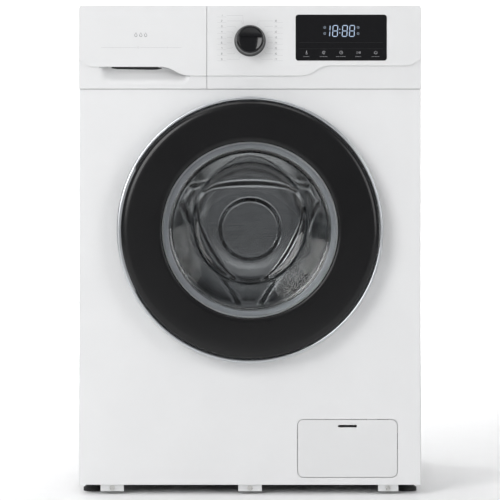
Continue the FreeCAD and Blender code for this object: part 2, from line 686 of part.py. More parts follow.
def drawer_release_tab():
    x0, x1 = compartment_walls()
    middle = (x0 + x1) / 2
    y0 = Y_TRAY + TRAY_DEPTH - 100
    key = rounded_plate(middle - 14, middle + 14, y0, y0 + 26, TRAY_Z1 - 8, TRAY_Z1 - 4, 1.5)
    stem = box(middle - 5, middle + 5, y0 + 9, y0 + 17, TRAY_Z0 + TRAY_WALL + 6, TRAY_Z1 - 7)
    return joined([key, stem])


def dispenser_housing():
    y1 = Y_HOUSING + HOUSING_DEPTH
    wall = HOUSING_WALL
    shell = box(HOUSING_X0, HOUSING_X1, Y_HOUSING, y1, HOUSING_Z0, HOUSING_Z1)
    inside = box(HOUSING_X0 + wall, HOUSING_X1 - wall, Y_HOUSING - 1, y1 - wall, HOUSING_Z0 + wall,
                 HOUSING_Z1 - wall)
    shell = shell.cut(inside)
    spout = rod_z(17, FILL_X, FILL_Y, HOUSING_Z0 - 12, HOUSING_Z0 + 1)
    inlet = rod_y(7, VALVE_X, VALVE_Z, y1 - 1, y1 + 14)
    housing = joined([shell, spout, inlet])
    housing = housing.cut(rod_z(15, FILL_X, FILL_Y, HOUSING_Z0 - 20, HOUSING_Z0 + 4))
    housing = housing.cut(rod_y(5, VALVE_X, VALVE_Z, y1 - 6, y1 + 20))
    rails = []
    for x in (HOUSING_X0 + wall, HOUSING_X1 - wall - 8):
        rails.append(box(x, x + 8, Y_HOUSING, y1 - 30, TRAY_Z0 - 3, TRAY_Z0 - 0.5))
    return joined([housing] + rails)


# ---------------------------------------------------------------- door
def grip_wedge(outer, y0, y1):
    return sector(outer, y0, y1, 180 - GRIP_HALF_ANGLE, 180 + GRIP_HALF_ANGLE)


def hinge_notches():
    """Room in the door's edge for the fixed knuckles and their arms to swing through."""
    notches = []
    for side in (-1, 1):
        z0 = AXIS_Z + side * (KNUCKLE_Z0 - 1.5)
        z1 = AXIS_Z + side * (KNUCKLE_Z1 + 1.5)
        notches.append(box(HINGE_X - 46, DOOR_R + 1, HINGE_Y - 6.5, Y_FRONT, min(z0, z1), max(z0, z1)))
    barrel_room = box(HINGE_X - 7, DOOR_R + 1, HINGE_Y - 6.5, Y_FRONT, AXIS_Z - KNUCKLE_Z0 - 1,
                      AXIS_Z + KNUCKLE_Z0 + 1)
    return notches[0].multiFuse([notches[1], barrel_room])


def door_inner_frame():
    back = Y_FRONT - DOOR_BACK_GAP
    grip_floor = 18.0
    ring = turned([
        (WINDOW_R - 2, back),
        (DOOR_R - 8, back),
        (DOOR_R - 8, back - 23),
        (DOOR_R - 10.5, back - 23),
        (DOOR_R - 10.5, back - 2.5),
        (WINDOW_R + 1, back - 2.5),
        (WINDOW_R + 1, back - 21),
        (WINDOW_R - 2, back - 21),
    ])
    wedge = grip_wedge(DOOR_R + 4, back - grip_floor, back + 1)
    hollow = wedge.cut(rod_y(HOOK_RADIUS + 18, 0, AXIS_Z, back - 50, back + 5))
    ring = ring.cut(hollow)
    wall = ring_y(HOOK_RADIUS + 18, HOOK_RADIUS + 16, 0, AXIS_Z, back - grip_floor - 2, back)
    wall = wall.common(grip_wedge(DOOR_R + 4, back - 40, back + 1))
    roof = ring_y(DOOR_R - 8, HOOK_RADIUS + 16, 0, AXIS_Z, back - grip_floor - 2, back - grip_floor)
    roof = roof.common(grip_wedge(DOOR_R + 4, back - 40, back + 1))
    pieces = [ring, wall, roof]
    hook_y = Y_FRONT - HOOK_PIN_FORWARD
    for side in (-1, 1):
        z0 = AXIS_Z + side * 12
        z1 = AXIS_Z + side * 18
        pieces.append(box(-HOOK_RADIUS - 6, -HOOK_RADIUS + 6, hook_y - 5, back - 2, min(z0, z1), max(z0, z1)))
    frame = joined(pieces)
    frame = frame.cut(box(-HOOK_RADIUS - 8, -HOOK_RADIUS + 8, back - 3, back + 1, AXIS_Z - 11, AXIS_Z + 11))
    frame = frame.cut(rod_z(2 + RUNNING, -HOOK_RADIUS, hook_y, AXIS_Z - 30, AXIS_Z + 30))
    return frame.cut(hinge_notches())


def door_front_ring():
    face = Y_FRONT - DOOR_PROUD
    return turned([
        (WINDOW_R - 0.4, face + 8.5),
        (WINDOW_R - 0.4, face + 3.5),
        (WINDOW_R + 2, face + 1),
        (WINDOW_R + 6, face),
        (DOOR_R - 18, face),
        (DOOR_R - 14, face + 1),
        (DOOR_R - 7, face + 7),
        (DOOR_R - 7, face + 11),
        (DOOR_R - 10, face + 11),
        (DOOR_R - 17, face + 4),
        (DOOR_R - 20, face + 3.2),
        (WINDOW_R + 8, face + 3.2),
        (WINDOW_R + 4, face + 4.5),
        (WINDOW_R + 4, face + 8.5),
    ])


def door_trim_ring():
    face = Y_FRONT - DOOR_PROUD
    ring = turned([
        (DOOR_R - 6, Y_FRONT - 8),
        (DOOR_R - 6, face + 8.5),
        (DOOR_R - 4.5, face + 6.6),
        (DOOR_R - 2, face + 6.2),
        (DOOR_R - 0.6, face + 7.2),
        (DOOR_R, face + 9),
        (DOOR_R, Y_FRONT - 4.5),
        (DOOR_R - 1.5, Y_FRONT - 4.5),
        (DOOR_R - 1.5, Y_FRONT - 8),
    ])
    ring = ring.cut(grip_wedge(DOOR_R + 4, Y_FRONT - 21.5, Y_FRONT))
    return ring.cut(hinge_notches())


def oval_wire(y, half_x, half_z, z):
    if half_z > half_x:
        edge = Part.Ellipse(V(0, 0, 0), half_z, half_x).toShape()
        edge.rotate(V(0, 0, 0), V(0, 0, 1), 90)
    else:
        edge = Part.Circle(V(0, 0, 0), V(0, 0, 1), half_x).toShape()
        edge.rotate(V(0, 0, 0), V(0, 0, 1), 90)
    edge.rotate(V(0, 0, 0), V(1, 0, 0), 90)
    edge.translate(V(0, y, z))
    return Part.Wire(edge)


def bowl_solid(inset, y0, y1):
    start = oval_wire(y0, BOWL_RIM_R - inset, BOWL_RIM_R - inset, AXIS_Z)
    end = oval_wire(y1, BOWL_END_X - inset, BOWL_END_Z - inset, AXIS_Z + BOWL_END_RAISE)
    return Part.makeLoft([start, end], True, True)


def door_glass():
    y0 = Y_FRONT - 29.2
    flange = ring_y(GLASS_R, BOWL_RIM_R - GLASS_THICK - 1, 0, AXIS_Z, y0, y0 + GLASS_THICK)
    flange = flange.cut(bowl_solid(GLASS_THICK, y0 - 0.5, Y_FRONT + BOWL_DEPTH))
    outer = bowl_solid(0, y0 + 0.5, Y_FRONT + BOWL_DEPTH)
    inner = bowl_solid(GLASS_THICK, y0 - 0.5, Y_FRONT + BOWL_DEPTH - GLASS_THICK)
    return joined([outer.cut(inner), flange])


def door_hinge_arm():
    """The moving leaf: a barrel on the pin, a plate and a foot screwed to the frame."""
    half = KNUCKLE_Z0 - 1
    foot_y = Y_FRONT - DOOR_BACK_GAP - 2.5
    pieces = [
        rod_z(KNUCKLE_R, HINGE_X, HINGE_Y, AXIS_Z - half, AXIS_Z + half),
        box(HINGE_X - 32, HINGE_X, HINGE_Y - 2, HINGE_Y + 2, AXIS_Z - half, AXIS_Z + half),
        box(HINGE_X - 36, HINGE_X - 32, HINGE_Y - 2, foot_y, AXIS_Z - half, AXIS_Z + half),
        box(HINGE_X - 60, HINGE_X - 32, foot_y - 2.5, foot_y, AXIS_Z - half, AXIS_Z + half),
    ]
    return joined(pieces).cut(rod_z(HINGE_PIN_R + RUNNING, HINGE_X, HINGE_Y, AXIS_Z - 60, AXIS_Z + 60))


def door_hinge_bracket():
    """The fixed leaf on the front panel, with its two knuckles and the pin."""
    plate_top = Y_FRONT - 2.0
    x_foot = HINGE_X - 24
    pieces = [box(HINGE_X - 44, x_foot + 8, plate_top, Y_FRONT, AXIS_Z - KNUCKLE_Z1, AXIS_Z + KNUCKLE_Z1)]
    for side in (-1, 1):
        z0 = AXIS_Z + side * KNUCKLE_Z0
        z1 = AXIS_Z + side * KNUCKLE_Z1
        low = min(z0, z1)
        high = max(z0, z1)
        pieces.append(rod_z(KNUCKLE_R, HINGE_X, HINGE_Y, low, high))
        arm = [V(x_foot, plate_top, low), V(x_foot + 8, plate_top, low),
               V(HINGE_X + 2.5, HINGE_Y + 4, low), V(HINGE_X - 3.5, HINGE_Y - 2, low)]
        pieces.append(Part.Face(Part.makePolygon(arm + arm[:1])).extrude(V(0, 0, high - low)))
    pieces.append(rod_z(HINGE_PIN_R, HINGE_X, HINGE_Y, AXIS_Z - KNUCKLE_Z1, AXIS_Z + KNUCKLE_Z1))
    return joined(pieces)


def screw_head(x, z, y, away):
    """A recessed screw head seated at y and facing away (-1 to the front, +1 to the back)."""
    y0, y1 = sorted((y, y + away * SCREW_HEAD_H))
    head = rod_y(SCREW_HEAD_R, x, z, y0, y1)
    face0, face1 = sorted((y + away * SCREW_HEAD_H * 0.45, y + away * (SCREW_HEAD_H + 1)))
    cross = box(x - 2.6, x + 2.6, face0, face1, z - 0.5, z + 0.5)
    cross = cross.fuse(box(x - 0.5, x + 0.5, face0, face1, z - 2.6, z + 2.6))
    return head.cut(cross)


def door_screws():
    heads = []
    for angle in range(0, 360, 45):
        turn = math.radians(angle + 22.5 + 22.5)
        if abs(math.sin(turn)) < 0.1:
            continue
        x = 186 * math.cos(turn)
        z = AXIS_Z + 186 * math.sin(turn)
        heads.append(screw_head(x, z, Y_FRONT - DOOR_BACK_GAP, 1))
    return Part.makeCompound(heads)


def door_hook():
    y_pin = Y_FRONT - HOOK_PIN_FORWARD
    y_tip = Y_FRONT + 20
    x = -HOOK_RADIUS
    pieces = [
        rod_z(4.5, x, y_pin, AXIS_Z - 9, AXIS_Z + 9),
        box(x - 2.5, x + 2.5, y_pin, y_tip, AXIS_Z - 9, AXIS_Z + 9),
        box(x - 6, x - 2, y_tip - 7, y_tip, AXIS_Z - 9, AXIS_Z + 9),
        rod_z(2.0, x, y_pin, AXIS_Z - 18, AXIS_Z + 18),
    ]
    return joined(pieces)


def door_lock():
    x0 = -HOOK_RADIUS - 30
    x1 = -HOLE_R - 5
    y1 = Y_FRONT + 26
    body = box(x0, x1, Y_FRONT + SHEET, y1, AXIS_Z - 36, AXIS_Z + 36)
    cavity = box(-HOOK_RADIUS - 9.5, x1 - 2, Y_FRONT, y1 - 2.5, AXIS_Z - 17, AXIS_Z + 17)
    plug = box(x0 + 2, x0 + 14, Y_FRONT + 4, y1 - 2, AXIS_Z - 44, AXIS_Z - 35)
    return joined([body.cut(cavity), plug])


def door_seal():
    y = Y_FRONT
    collar = HOLE_R - 0.1
    return turned([
        (HOLE_R + 4, y - 2.2),
        (WINDOW_R, y - 2.2),
        (WINDOW_R - 14, y + 4),
        (WINDOW_R - 14, y + 8),
        (WINDOW_R + 2, y + 13),
        (WINDOW_R + 2, y + 26),
        (WINDOW_R - 4, y + 33),
        (WINDOW_R - 4, y + 40),
        (WINDOW_R + 4, y + 47),
        (WINDOW_R + 4, y + TUB_SETBACK - NECK_LENGTH - 2),
        (NECK_R + 0.2, y + TUB_SETBACK - NECK_LENGTH - 2),
        (NECK_R + 0.2, y + TUB_SETBACK - 3),
        (NECK_R + 3.5, y + TUB_SETBACK - 3),
        (NECK_R + 3.5, y + 49),
        (WINDOW_R + 8, y + 44),
        (WINDOW_R + 0.5, y + 38),
        (WINDOW_R + 0.5, y + 34.5),
        (WINDOW_R + 6, y + 28),
        (WINDOW_R + 6, y + COLLAR_DEPTH + 1),
        (collar, y + COLLAR_DEPTH + 1),
        (collar, y - 0.1),
        (HOLE_R + 4, y - 0.1),
    ])


# ---------------------------------------------------------------- filter flap and pump
def filter_flap():
    plate = flap_outline(0, Y_FRONT, Y_FRONT + FLAP_THICK)
    plate = plate.cut(rounded_plate(FLAP_X0 + 2, FLAP_X1 - 2, Y_FRONT + 1.6, Y_FRONT + FLAP_THICK + 1,
                                    FLAP_Z0 + 9, FLAP_Z1 - 2, FLAP_CORNER_R - 2))
    slot = rounded_plate(PUMP_X - 16.5, PUMP_X + 16.5, Y_FRONT - 1, Y_FRONT + 5, FLAP_Z1 - 13.3,
                         FLAP_Z1 - 9, 2.0)
    y = Y_FRONT + FLAP_PIVOT_DEPTH
    z = FLAP_Z0 + FLAP_PIVOT_RISE
    pieces = [plate.cut(slot)]
    for x0, direction in ((FLAP_X0 + 3, -1), (FLAP_X1 - 3, 1)):
        near, far = sorted((x0, x0 - direction * 9))
        pieces.append(box(near, far, Y_FRONT + 1, y + 2.5, z - 2.2, z + 6))
        start, end = sorted((x0 - direction, x0 + direction * 9))
        pieces.append(rod_x(FLAP_PIN_R, y, z, start, end))
    return joined(pieces)


def pump_housing():
    y1 = Y_PUMP + PUMP_LENGTH
    body = rod_y(PUMP_R, PUMP_X, PUMP_Z, Y_PUMP, y1)
    rim = rod_y(PUMP_R + 4, PUMP_X, PUMP_Z, Y_PUMP, Y_PUMP + 2.4)
    spout = rod_z(18, SUMP_X, SUMP_Y, PUMP_Z, PUMP_Z + 56)
    outlet = rod_x(9, Y_FRONT + 72, PUMP_Z, PUMP_X, PUMP_X + PUMP_R + 14)
    foot = box(PUMP_X - 24, PUMP_X + 24, Y_PUMP + 12, y1, PUMP_Z - PUMP_R - 1, PUMP_Z - PUMP_R + 8)
    housing = joined([body, rim, spout, outlet, foot])
    housing = housing.cut(rod_y(PUMP_BORE_R, PUMP_X, PUMP_Z, Y_PUMP - 1, y1 - 4))
    housing = housing.cut(rod_z(16, SUMP_X, SUMP_Y, PUMP_Z, PUMP_Z + 60))
    return housing.cut(rod_x(7, Y_FRONT + 72, PUMP_Z, PUMP_X, PUMP_X + PUMP_R + 20))


def pump_filter():
    y0 = Y_PUMP - 3
    cap = rod_y(FILTER_R, PUMP_X, PUMP_Z, y0, y0 + 12)
    cap = cap.cut(rod_y(FILTER_R - 3, PUMP_X, PUMP_Z, y0 - 1, y0 + 6))
    grip = box(PUMP_X - 26, PUMP_X + 26, y0, y0 + 8, PUMP_Z - 3, PUMP_Z + 3)
    sleeve = ring_y(FILTER_R - 3, FILTER_R - 5, PUMP_X, PUMP_Z, y0 + 11, y0 + 55)
    strainer = joined([cap, grip, sleeve])
    slots = []
    for angle in range(0, 180, 30):
        slot = box(PUMP_X - FILTER_R, PUMP_X + FILTER_R, y0 + 18, y0 + 50, PUMP_Z - 2.5, PUMP_Z + 2.5)
        slot.rotate(V(PUMP_X, 0, PUMP_Z), V(0, 1, 0), angle)
        slots.append(slot)
    return strainer.cut(slots[0].multiFuse(slots[1:]))


def pump_motor():
    y0 = Y_PUMP + PUMP_LENGTH
    can = rod_y(28, PUMP_X, PUMP_Z, y0, y0 + 52)
    collar = rod_y(31, PUMP_X, PUMP_Z, y0, y0 + 6)
    terminal = box(PUMP_X - 12, PUMP_X + 12, y0 + 30, y0 + 58, PUMP_Z + 22, PUMP_Z + 36)
    return joined([can, collar, terminal])


def bellows(x, y, z0, z1, radius, folds):
    """A straight rubber sleeve with round folds between two plain cuffs."""
    cuff = 8.0
    wall = 1.6
    pitch = (z1 - z0 - 2 * cuff) / folds
    outer = [V(x + radius, y, z0), V(x + radius, y, z0 + cuff)]
    inner = [V(x + radius - wall, y, z0), V(x + radius - wall, y, z0 + cuff)]
    for fold in range(folds):
        z = z0 + cuff + pitch * fold
        outer += [V(x + radius + 3.5, y, z + pitch / 2), V(x + radius, y, z + pitch)]
        inner += [V(x + radius + 3.5 - wall, y, z + pitch / 2), V(x + radius - wall, y, z + pitch)]
    outer.append(V(x + radius, y, z1))
    inner.append(V(x + radius - wall, y, z1))
    outline = outer + inner[::-1]
    return Part.Face(Part.makePolygon(outline + outline[:1])).revolve(V(x, y, 0), V(0, 0, 1), 360)


TUB_SPOUT_DROP = 252.0
FILL_SPOUT_RISE = 240.0


def sump_hose():
    return bellows(SUMP_X, SUMP_Y, PUMP_Z + 44, AXIS_Z - TUB_SPOUT_DROP + 8, 19.8, 5)


def fill_hose():
    return bellows(FILL_X, FILL_Y, AXIS_Z + FILL_SPOUT_RISE - 9, HOUSING_Z0 - 1, 18.8, 2)


def drain_hose():
    y0 = Y_FRONT + 72
    y1 = Y_BACK - 31
    points = [
        V(PUMP_X + PUMP_R + 4, y0, PUMP_Z),
        V(OUTLET_X, y0, PUMP_Z),
        V(OUTLET_X, y1, PUMP_Z),
        V(OUTLET_X, y1, OUTLET_Z - 16),
    ]
    return bent_tube(points, [28.0, 60.0], 11.0, 9.1)


def drain_outlet():
    y0 = Y_BACK - 31
    upright = rod_z(SPIGOT_R, OUTLET_X, y0, OUTLET_Z - 34, OUTLET_Z)
    spigot = rod_y(SPIGOT_R, OUTLET_X, OUTLET_Z, y0, Y_BACK + REAR_PROUD - 2)
    flange = rod_y(17, OUTLET_X, OUTLET_Z, Y_BACK, Y_BACK + 2.5)
    elbow = Part.makeSphere(SPIGOT_R, V(OUTLET_X, y0, OUTLET_Z))
    body = joined([upright, spigot, flange, elbow])
    bore = SPIGOT_R - 2
    body = body.cut(rod_z(bore, OUTLET_X, y0, OUTLET_Z - 40, OUTLET_Z))
    return body.cut(rod_y(bore, OUTLET_X, OUTLET_Z, y0 - 2, Y_BACK + REAR_PROUD))


def inlet_valve():
    y0 = Y_BACK - SHEET - 42
    body = box(VALVE_X - 18, VALVE_X + 18, y0 + 16, Y_BACK - 2 * SHEET, VALVE_Z - 18, VALVE_Z + 18)
    coil = rod_z(13, VALVE_X, y0 + 28, VALVE_Z + 17, VALVE_Z + 38)
    spout = rod_y(INLET_THREAD_R, VALVE_X, VALVE_Z, Y_BACK - 3, Y_BACK + REAR_PROUD - 4)
    inner_spout = rod_y(6.5, VALVE_X, VALVE_Z, y0, y0 + 17)
    collar = rod_y(VALVE_COLLAR_R, VALVE_X, VALVE_Z, Y_BACK - 3, Y_BACK)
    body = joined([body, coil, spout, collar, inner_spout])
    body = body.cut(rod_y(9.5, VALVE_X, VALVE_Z, Y_BACK + 2, Y_BACK + REAR_PROUD))
    return body.cut(rod_y(4.5, VALVE_X, VALVE_Z, y0 - 1, Y_BACK + 3))


def inlet_hose():
    y0 = Y_HOUSING + HOUSING_DEPTH + 2
    y1 = Y_BACK - SHEET - 30
    return ring_y(9.2, 7.1, VALVE_X, VALVE_Z, y0, y1)


def mains_gland():
    body = rod_y(GLAND_HOLE_R - 0.2, GLAND_X, GLAND_Z, Y_BACK - 12, Y_BACK + 1)
    head = rod_y(11, GLAND_X, GLAND_Z, Y_BACK, Y_BACK + 6)
    sleeve = Part.makeCone(8, 6.5, 11, V(GLAND_X, Y_BACK + 5, GLAND_Z), V(0, 1, 0))
    gland = joined([body, head, sleeve])
    return gland.cut(rod_y(4.0, GLAND_X, GLAND_Z, Y_BACK - 20, Y_BACK + 20))


def control_module():
    y1 = Y_BACK - SHEET
    case = box(X_SIDE - 180, X_SIDE - 24, y1 - 90, y1, Z_TOP - 100, Z_TOP - 24)
    case = fillet_along(case, V(0, 1, 0), 4.0)
    fins = [box(X_SIDE - 170 + 9 * i, X_SIDE - 167 + 9 * i, y1 - 80, y1 - 30, Z_TOP - 25, Z_TOP - 14)
            for i in range(9)]
    return joined([case] + fins)


def transit_caps():
    caps = []
    for x, z in TRANSIT_PLACES:
        stem = rod_y(TRANSIT_R - 0.2, x, z, Y_BACK - 6, Y_BACK + 1)
        head = Part.makeCone(TRANSIT_R + 5, TRANSIT_R + 2, 4, V(x, Y_BACK, z), V(0, 1, 0))
        caps.append(joined([stem, head]))
    return Part.makeCompound(caps)


def cabinet_screws():
    heads = []
    for x0, x1 in TAB_PLACES:
        heads.append(screw_head((x0 + x1) / 2, (TAB_Z0 + PANEL_BOTTOM) / 2, Y_FRONT + TAB_SETBACK, -1))
    for x in (-X_SIDE + 50, X_SIDE - 50):
        heads.append(screw_head(x, HEIGHT - TOP_THICK / 2, Y_BACK, 1))
    for index in range(8):
        angle = math.radians(22.5 + 45 * index)
        radius = (REAR_OPENING_R + REAR_COVER_R) / 2 + 4
        heads.append(screw_head(radius * math.cos(angle), AXIS_Z + radius * math.sin(angle), Y_BACK + 1.2, 1))
    return Part.makeCompound(heads)


# ---------------------------------------------------------------- tub and drum
def tub_front():
    neck = Y_TUB - NECK_LENGTH
    seam = Y_TUB_SEAM
    shell = turned([
        (NECK_R - 5, neck),
        (NECK_R, neck),
        (NECK_R, Y_TUB),
        (TUB_R, Y_TUB),
        (TUB_R, seam - 6),
        (TUB_FLANGE_R, seam - 6),
        (TUB_FLANGE_R, seam),
        (TUB_R - TUB_WALL, seam),
        (TUB_R - TUB_WALL, Y_TUB + TUB_WALL),
        (NECK_R - 5, Y_TUB + TUB_WALL),
    ])
    spout = rod_z(18, SUMP_X, SUMP_Y, AXIS_Z - TUB_SPOUT_DROP, AXIS_Z - 190)
    spout = spout.cut(rod_y(TUB_R - 1, 0, AXIS_Z, Y_TUB - 1, seam + 1))
    shell = joined([shell, spout])
    return shell.cut(rod_z(16, SUMP_X, SUMP_Y, AXIS_Z - TUB_SPOUT_DROP - 1, AXIS_Z - 205))


def tub_rear():
    seam = Y_TUB_SEAM
    back = Y_TUB_BACK
    shell = turned([
        (TUB_R - TUB_WALL, seam),
        (TUB_FLANGE_R, seam),
        (TUB_FLANGE_R, seam + 6),
        (TUB_R, seam + 6),
        (TUB_R, back),
        (HUB_R, back),
        (HUB_R, back + 8),
        (SHAFT_R + RUNNING, back + 8),
        (SHAFT_R + RUNNING, back + 8 - HUB_LENGTH),
        (HUB_R, back + 8 - HUB_LENGTH),
        (HUB_R, back - 5),
        (TUB_R - TUB_WALL, back - 5),
    ])
    pieces = [shell]
    for index in range(12):
        rib = box(HUB_R - 2, TUB_R - 8, back - 1, back + 6, AXIS_Z - 2, AXIS_Z + 2)
        pieces.append(around_axis(rib, 30 * index + 15))
    drop_to_wall = rod_y(TUB_R - 1, 0, AXIS_Z, seam, back)
    for side in (-1, 1):
        x = side * SPRING_X
        lug = box(x - 10, x + 10, SPRING_Y - 10, SPRING_Y + 10, AXIS_Z + 110, AXIS_Z + SPRING_LUG_TOP)
        lug = lug.cut(drop_to_wall).Solids
        pieces.append(max(lug, key=lambda solid: solid.BoundBox.ZMax))
        x = side * DAMPER_TOP_X
        for y_a, y_b in ((DAMPER_Y - 14, DAMPER_Y - 9), (DAMPER_Y + 9, DAMPER_Y + 14)):
            cheek = box(x - 10, x + 10, y_a, y_b, DAMPER_TOP_Z - 9, AXIS_Z - 190)
            pieces.append(cheek.cut(drop_to_wall))
        pieces.append(rod_y(DAMPER_PIN_R, x, DAMPER_TOP_Z, DAMPER_Y - 14, DAMPER_Y + 14))
    spout = rod_z(17, FILL_X, FILL_Y, AXIS_Z + 195, AXIS_Z + FILL_SPOUT_RISE).cut(drop_to_wall)
    pieces.append(spout)
    tub = joined(pieces)
    return tub.cut(rod_z(15, FILL_X, FILL_Y, AXIS_Z + 190, AXIS_Z + FILL_SPOUT_RISE + 1))


def counterweights():
    y1 = Y_TUB
    front = ring_y(TUB_R - 4, NECK_R + 15, 0, AXIS_Z, y1 - 45, y1)
    front = front.cut(sector(TUB_R, y1 - 50, y1 + 5, 225, 315))
    top = box(-70, 95, Y_TUB_SEAM - 70, Y_TUB_SEAM + 130, AXIS_Z + 180, AXIS_Z + 325)
    top = top.cut(rod_y(TUB_FLANGE_R, 0, AXIS_Z, Y_TUB, Y_TUB_BACK + 10))
    top = fillet_along(top, V(0, 1, 0), 8.0, lambda c: c.z > AXIS_Z + 300)
    return Part.makeCompound([front, top])


def drum_shell():
    front = Y_DRUM
    back = Y_DRUM_BACK
    sheet = DRUM_SHEET
    return turned([
        (DRUM_MOUTH_R, front + 7),
        (DRUM_MOUTH_R, front + 2),
        (DRUM_MOUTH_R + 2, front),
        (DRUM_R - 10, front + 3),
        (DRUM_R, front + 12),
        (DRUM_R, back),
        (68, back),
        (60, back + 5),
        (0, back + 5),
        (0, back + 5 - sheet),
        (59.4, back + 5 - sheet),
        (67.4, back - sheet),
        (DRUM_R - sheet, back - sheet),
        (DRUM_R - sheet, front + 12.4),
        (DRUM_R - 10.4, front + 4),
        (DRUM_MOUTH_R + 2.4, front + 1),
        (DRUM_MOUTH_R + 1, front + 2.4),
        (DRUM_MOUTH_R + 1, front + 7),
    ])


def drum_lifters():
    base = DRUM_R - DRUM_SHEET
    lifters = []
    for index in range(3):
        outline = [
            V(-30, 0, AXIS_Z + base + 4),
            V(-27, 0, AXIS_Z + base - 12),
            V(-12, 0, AXIS_Z + base - 46),
            V(-6, 0, AXIS_Z + base - 54),
            V(6, 0, AXIS_Z + base - 54),
            V(12, 0, AXIS_Z + base - 46),
            V(27, 0, AXIS_Z + base - 12),
            V(30, 0, AXIS_Z + base + 4),
        ]
        ridge = Part.Face(Part.makePolygon(outline + outline[:1])).extrude(V(0, DRUM_LENGTH - 45, 0))
        ridge.translate(V(0, Y_DRUM + 28, 0))
        ridge = fillet_along(ridge, V(0, 1, 0), 5.0, lambda c: c.z < AXIS_Z + base - 50)
        ridge = ridge.common(rod_y(base, 0, AXIS_Z, Y_DRUM, Y_DRUM_BACK))
        lifters.append(around_axis(ridge, 120 * index + 60))
    return Part.makeCompound(lifters)


def drum_spider():
    y0 = Y_DRUM_BACK
    hub = rod_y(38, 0, AXIS_Z, y0 + 5, y0 + 24)
    pieces = [hub]
    for index in range(3):
        arm = box(30, DRUM_R - 6, y0, y0 + 16, AXIS_Z - 17, AXIS_Z + 17)
        arm = arm.cut(rod_y(69, 0, AXIS_Z, y0 - 1, y0 + 5))
        pieces.append(around_axis(arm, 120 * index + 30))
    spider = joined(pieces)
    shaft = rod_y(SHAFT_R, 0, AXIS_Z, y0 + 10, Y_PULLEY + PULLEY_WIDTH)
    return joined([spider, shaft])


def drum_pulley():
    y1 = Y_PULLEY + PULLEY_WIDTH
    rim = ring_y(PULLEY_R, PULLEY_R - 7, 0, AXIS_Z, Y_PULLEY, y1)
    hub = rod_y(26, 0, AXIS_Z, Y_PULLEY, y1)
    pieces = [rim, hub]
    for index in range(6):
        spoke = box(20, PULLEY_R - 4, Y_PULLEY + 6, y1 - 6, AXIS_Z - 8, AXIS_Z + 8)
        pieces.append(around_axis(spoke, 60 * index))
    nut = rod_y(SHAFT_R + 4, 0, AXIS_Z, y1, y1 + 7)
    pieces.append(nut)
    return joined(pieces).cut(rod_y(SHAFT_R, 0, AXIS_Z, Y_PULLEY - 1, y1))


def motor_body():
    y0 = Y_DRUM + 194
    y1 = Y_PULLEY - 18
    can = rod_y(MOTOR_R, MOTOR_X, MOTOR_Z, y0 + 16, y1 - 16)
    ends = [rod_y(MOTOR_R - 8, MOTOR_X, MOTOR_Z, y0, y0 + 17), rod_y(MOTOR_R - 8, MOTOR_X, MOTOR_Z, y1 - 17, y1)]
    distance = math.hypot(MOTOR_X, MOTOR_DROP)
    lean = -math.degrees(math.atan2(MOTOR_X, MOTOR_DROP))
    mounts = []
    for y in (y0 + 20, y1 - 34):
        ear = box(-30, 30, y, y + 14, AXIS_Z - distance + MOTOR_R - 8, AXIS_Z - TUB_R + 6)
        ear = ear.cut(rod_y(TUB_R, 0, AXIS_Z, y - 1, y + 20))
        mounts.append(around_axis(ear, lean))
    motor = joined([can] + ends + mounts)
    return motor.cut(rod_y(MOTOR_SHAFT_R + RUNNING, MOTOR_X, MOTOR_Z, y1 - 30, y1 + 1))


def motor_pulley():
    y1 = Y_PULLEY + PULLEY_WIDTH
    shaft = rod_y(MOTOR_SHAFT_R, MOTOR_X, MOTOR_Z, Y_PULLEY - 46, Y_PULLEY + 1)
    wheel = rod_y(MOTOR_PULLEY_R, MOTOR_X, MOTOR_Z, Y_PULLEY, y1)
    lips = [rod_y(MOTOR_PULLEY_R + 5, MOTOR_X, MOTOR_Z, Y_PULLEY, Y_PULLEY + 2),
            rod_y(MOTOR_PULLEY_R + 5, MOTOR_X, MOTOR_Z, y1 - 2, y1)]
    return joined([shaft, wheel] + lips)


def belt_loop(grow):
    """The outline of a belt that runs this far outside both pulleys."""
    big = PULLEY_R + grow
    small = MOTOR_PULLEY_R + grow
    distance = math.hypot(MOTOR_X, MOTOR_DROP)
    heading = math.atan2(-MOTOR_DROP, MOTOR_X)
    spread = math.acos((big - small) / distance)

    def at(centre_x, centre_z, radius, angle):
        return V(centre_x + radius * math.cos(angle), 0, centre_z + radius * math.sin(angle))

    big_a = at(0, AXIS_Z, big, heading + spread)
    big_b = at(0, AXIS_Z, big, heading - spread)
    big_far = at(0, AXIS_Z, big, heading + math.pi)
    small_a = at(MOTOR_X, MOTOR_Z, small, heading + spread)
    small_b = at(MOTOR_X, MOTOR_Z, small, heading - spread)
    small_far = at(MOTOR_X, MOTOR_Z, small, heading)
    edges = [
        Part.LineSegment(big_a, small_a).toShape(),
        Part.Arc(small_a, small_far, small_b).toShape(),
        Part.LineSegment(small_b, big_b).toShape(),
        Part.Arc(big_b, big_far, big_a).toShape(),
    ]
    face = Part.Face(Part.Wire(edges))
    y0 = Y_PULLEY + (PULLEY_WIDTH - BELT_WIDTH) / 2
    face.translate(V(0, y0, 0))
    return face.extrude(V(0, BELT_WIDTH, 0))


def drive_belt():
    return belt_loop(CLEAR + BELT_THICK).cut(belt_loop(CLEAR))


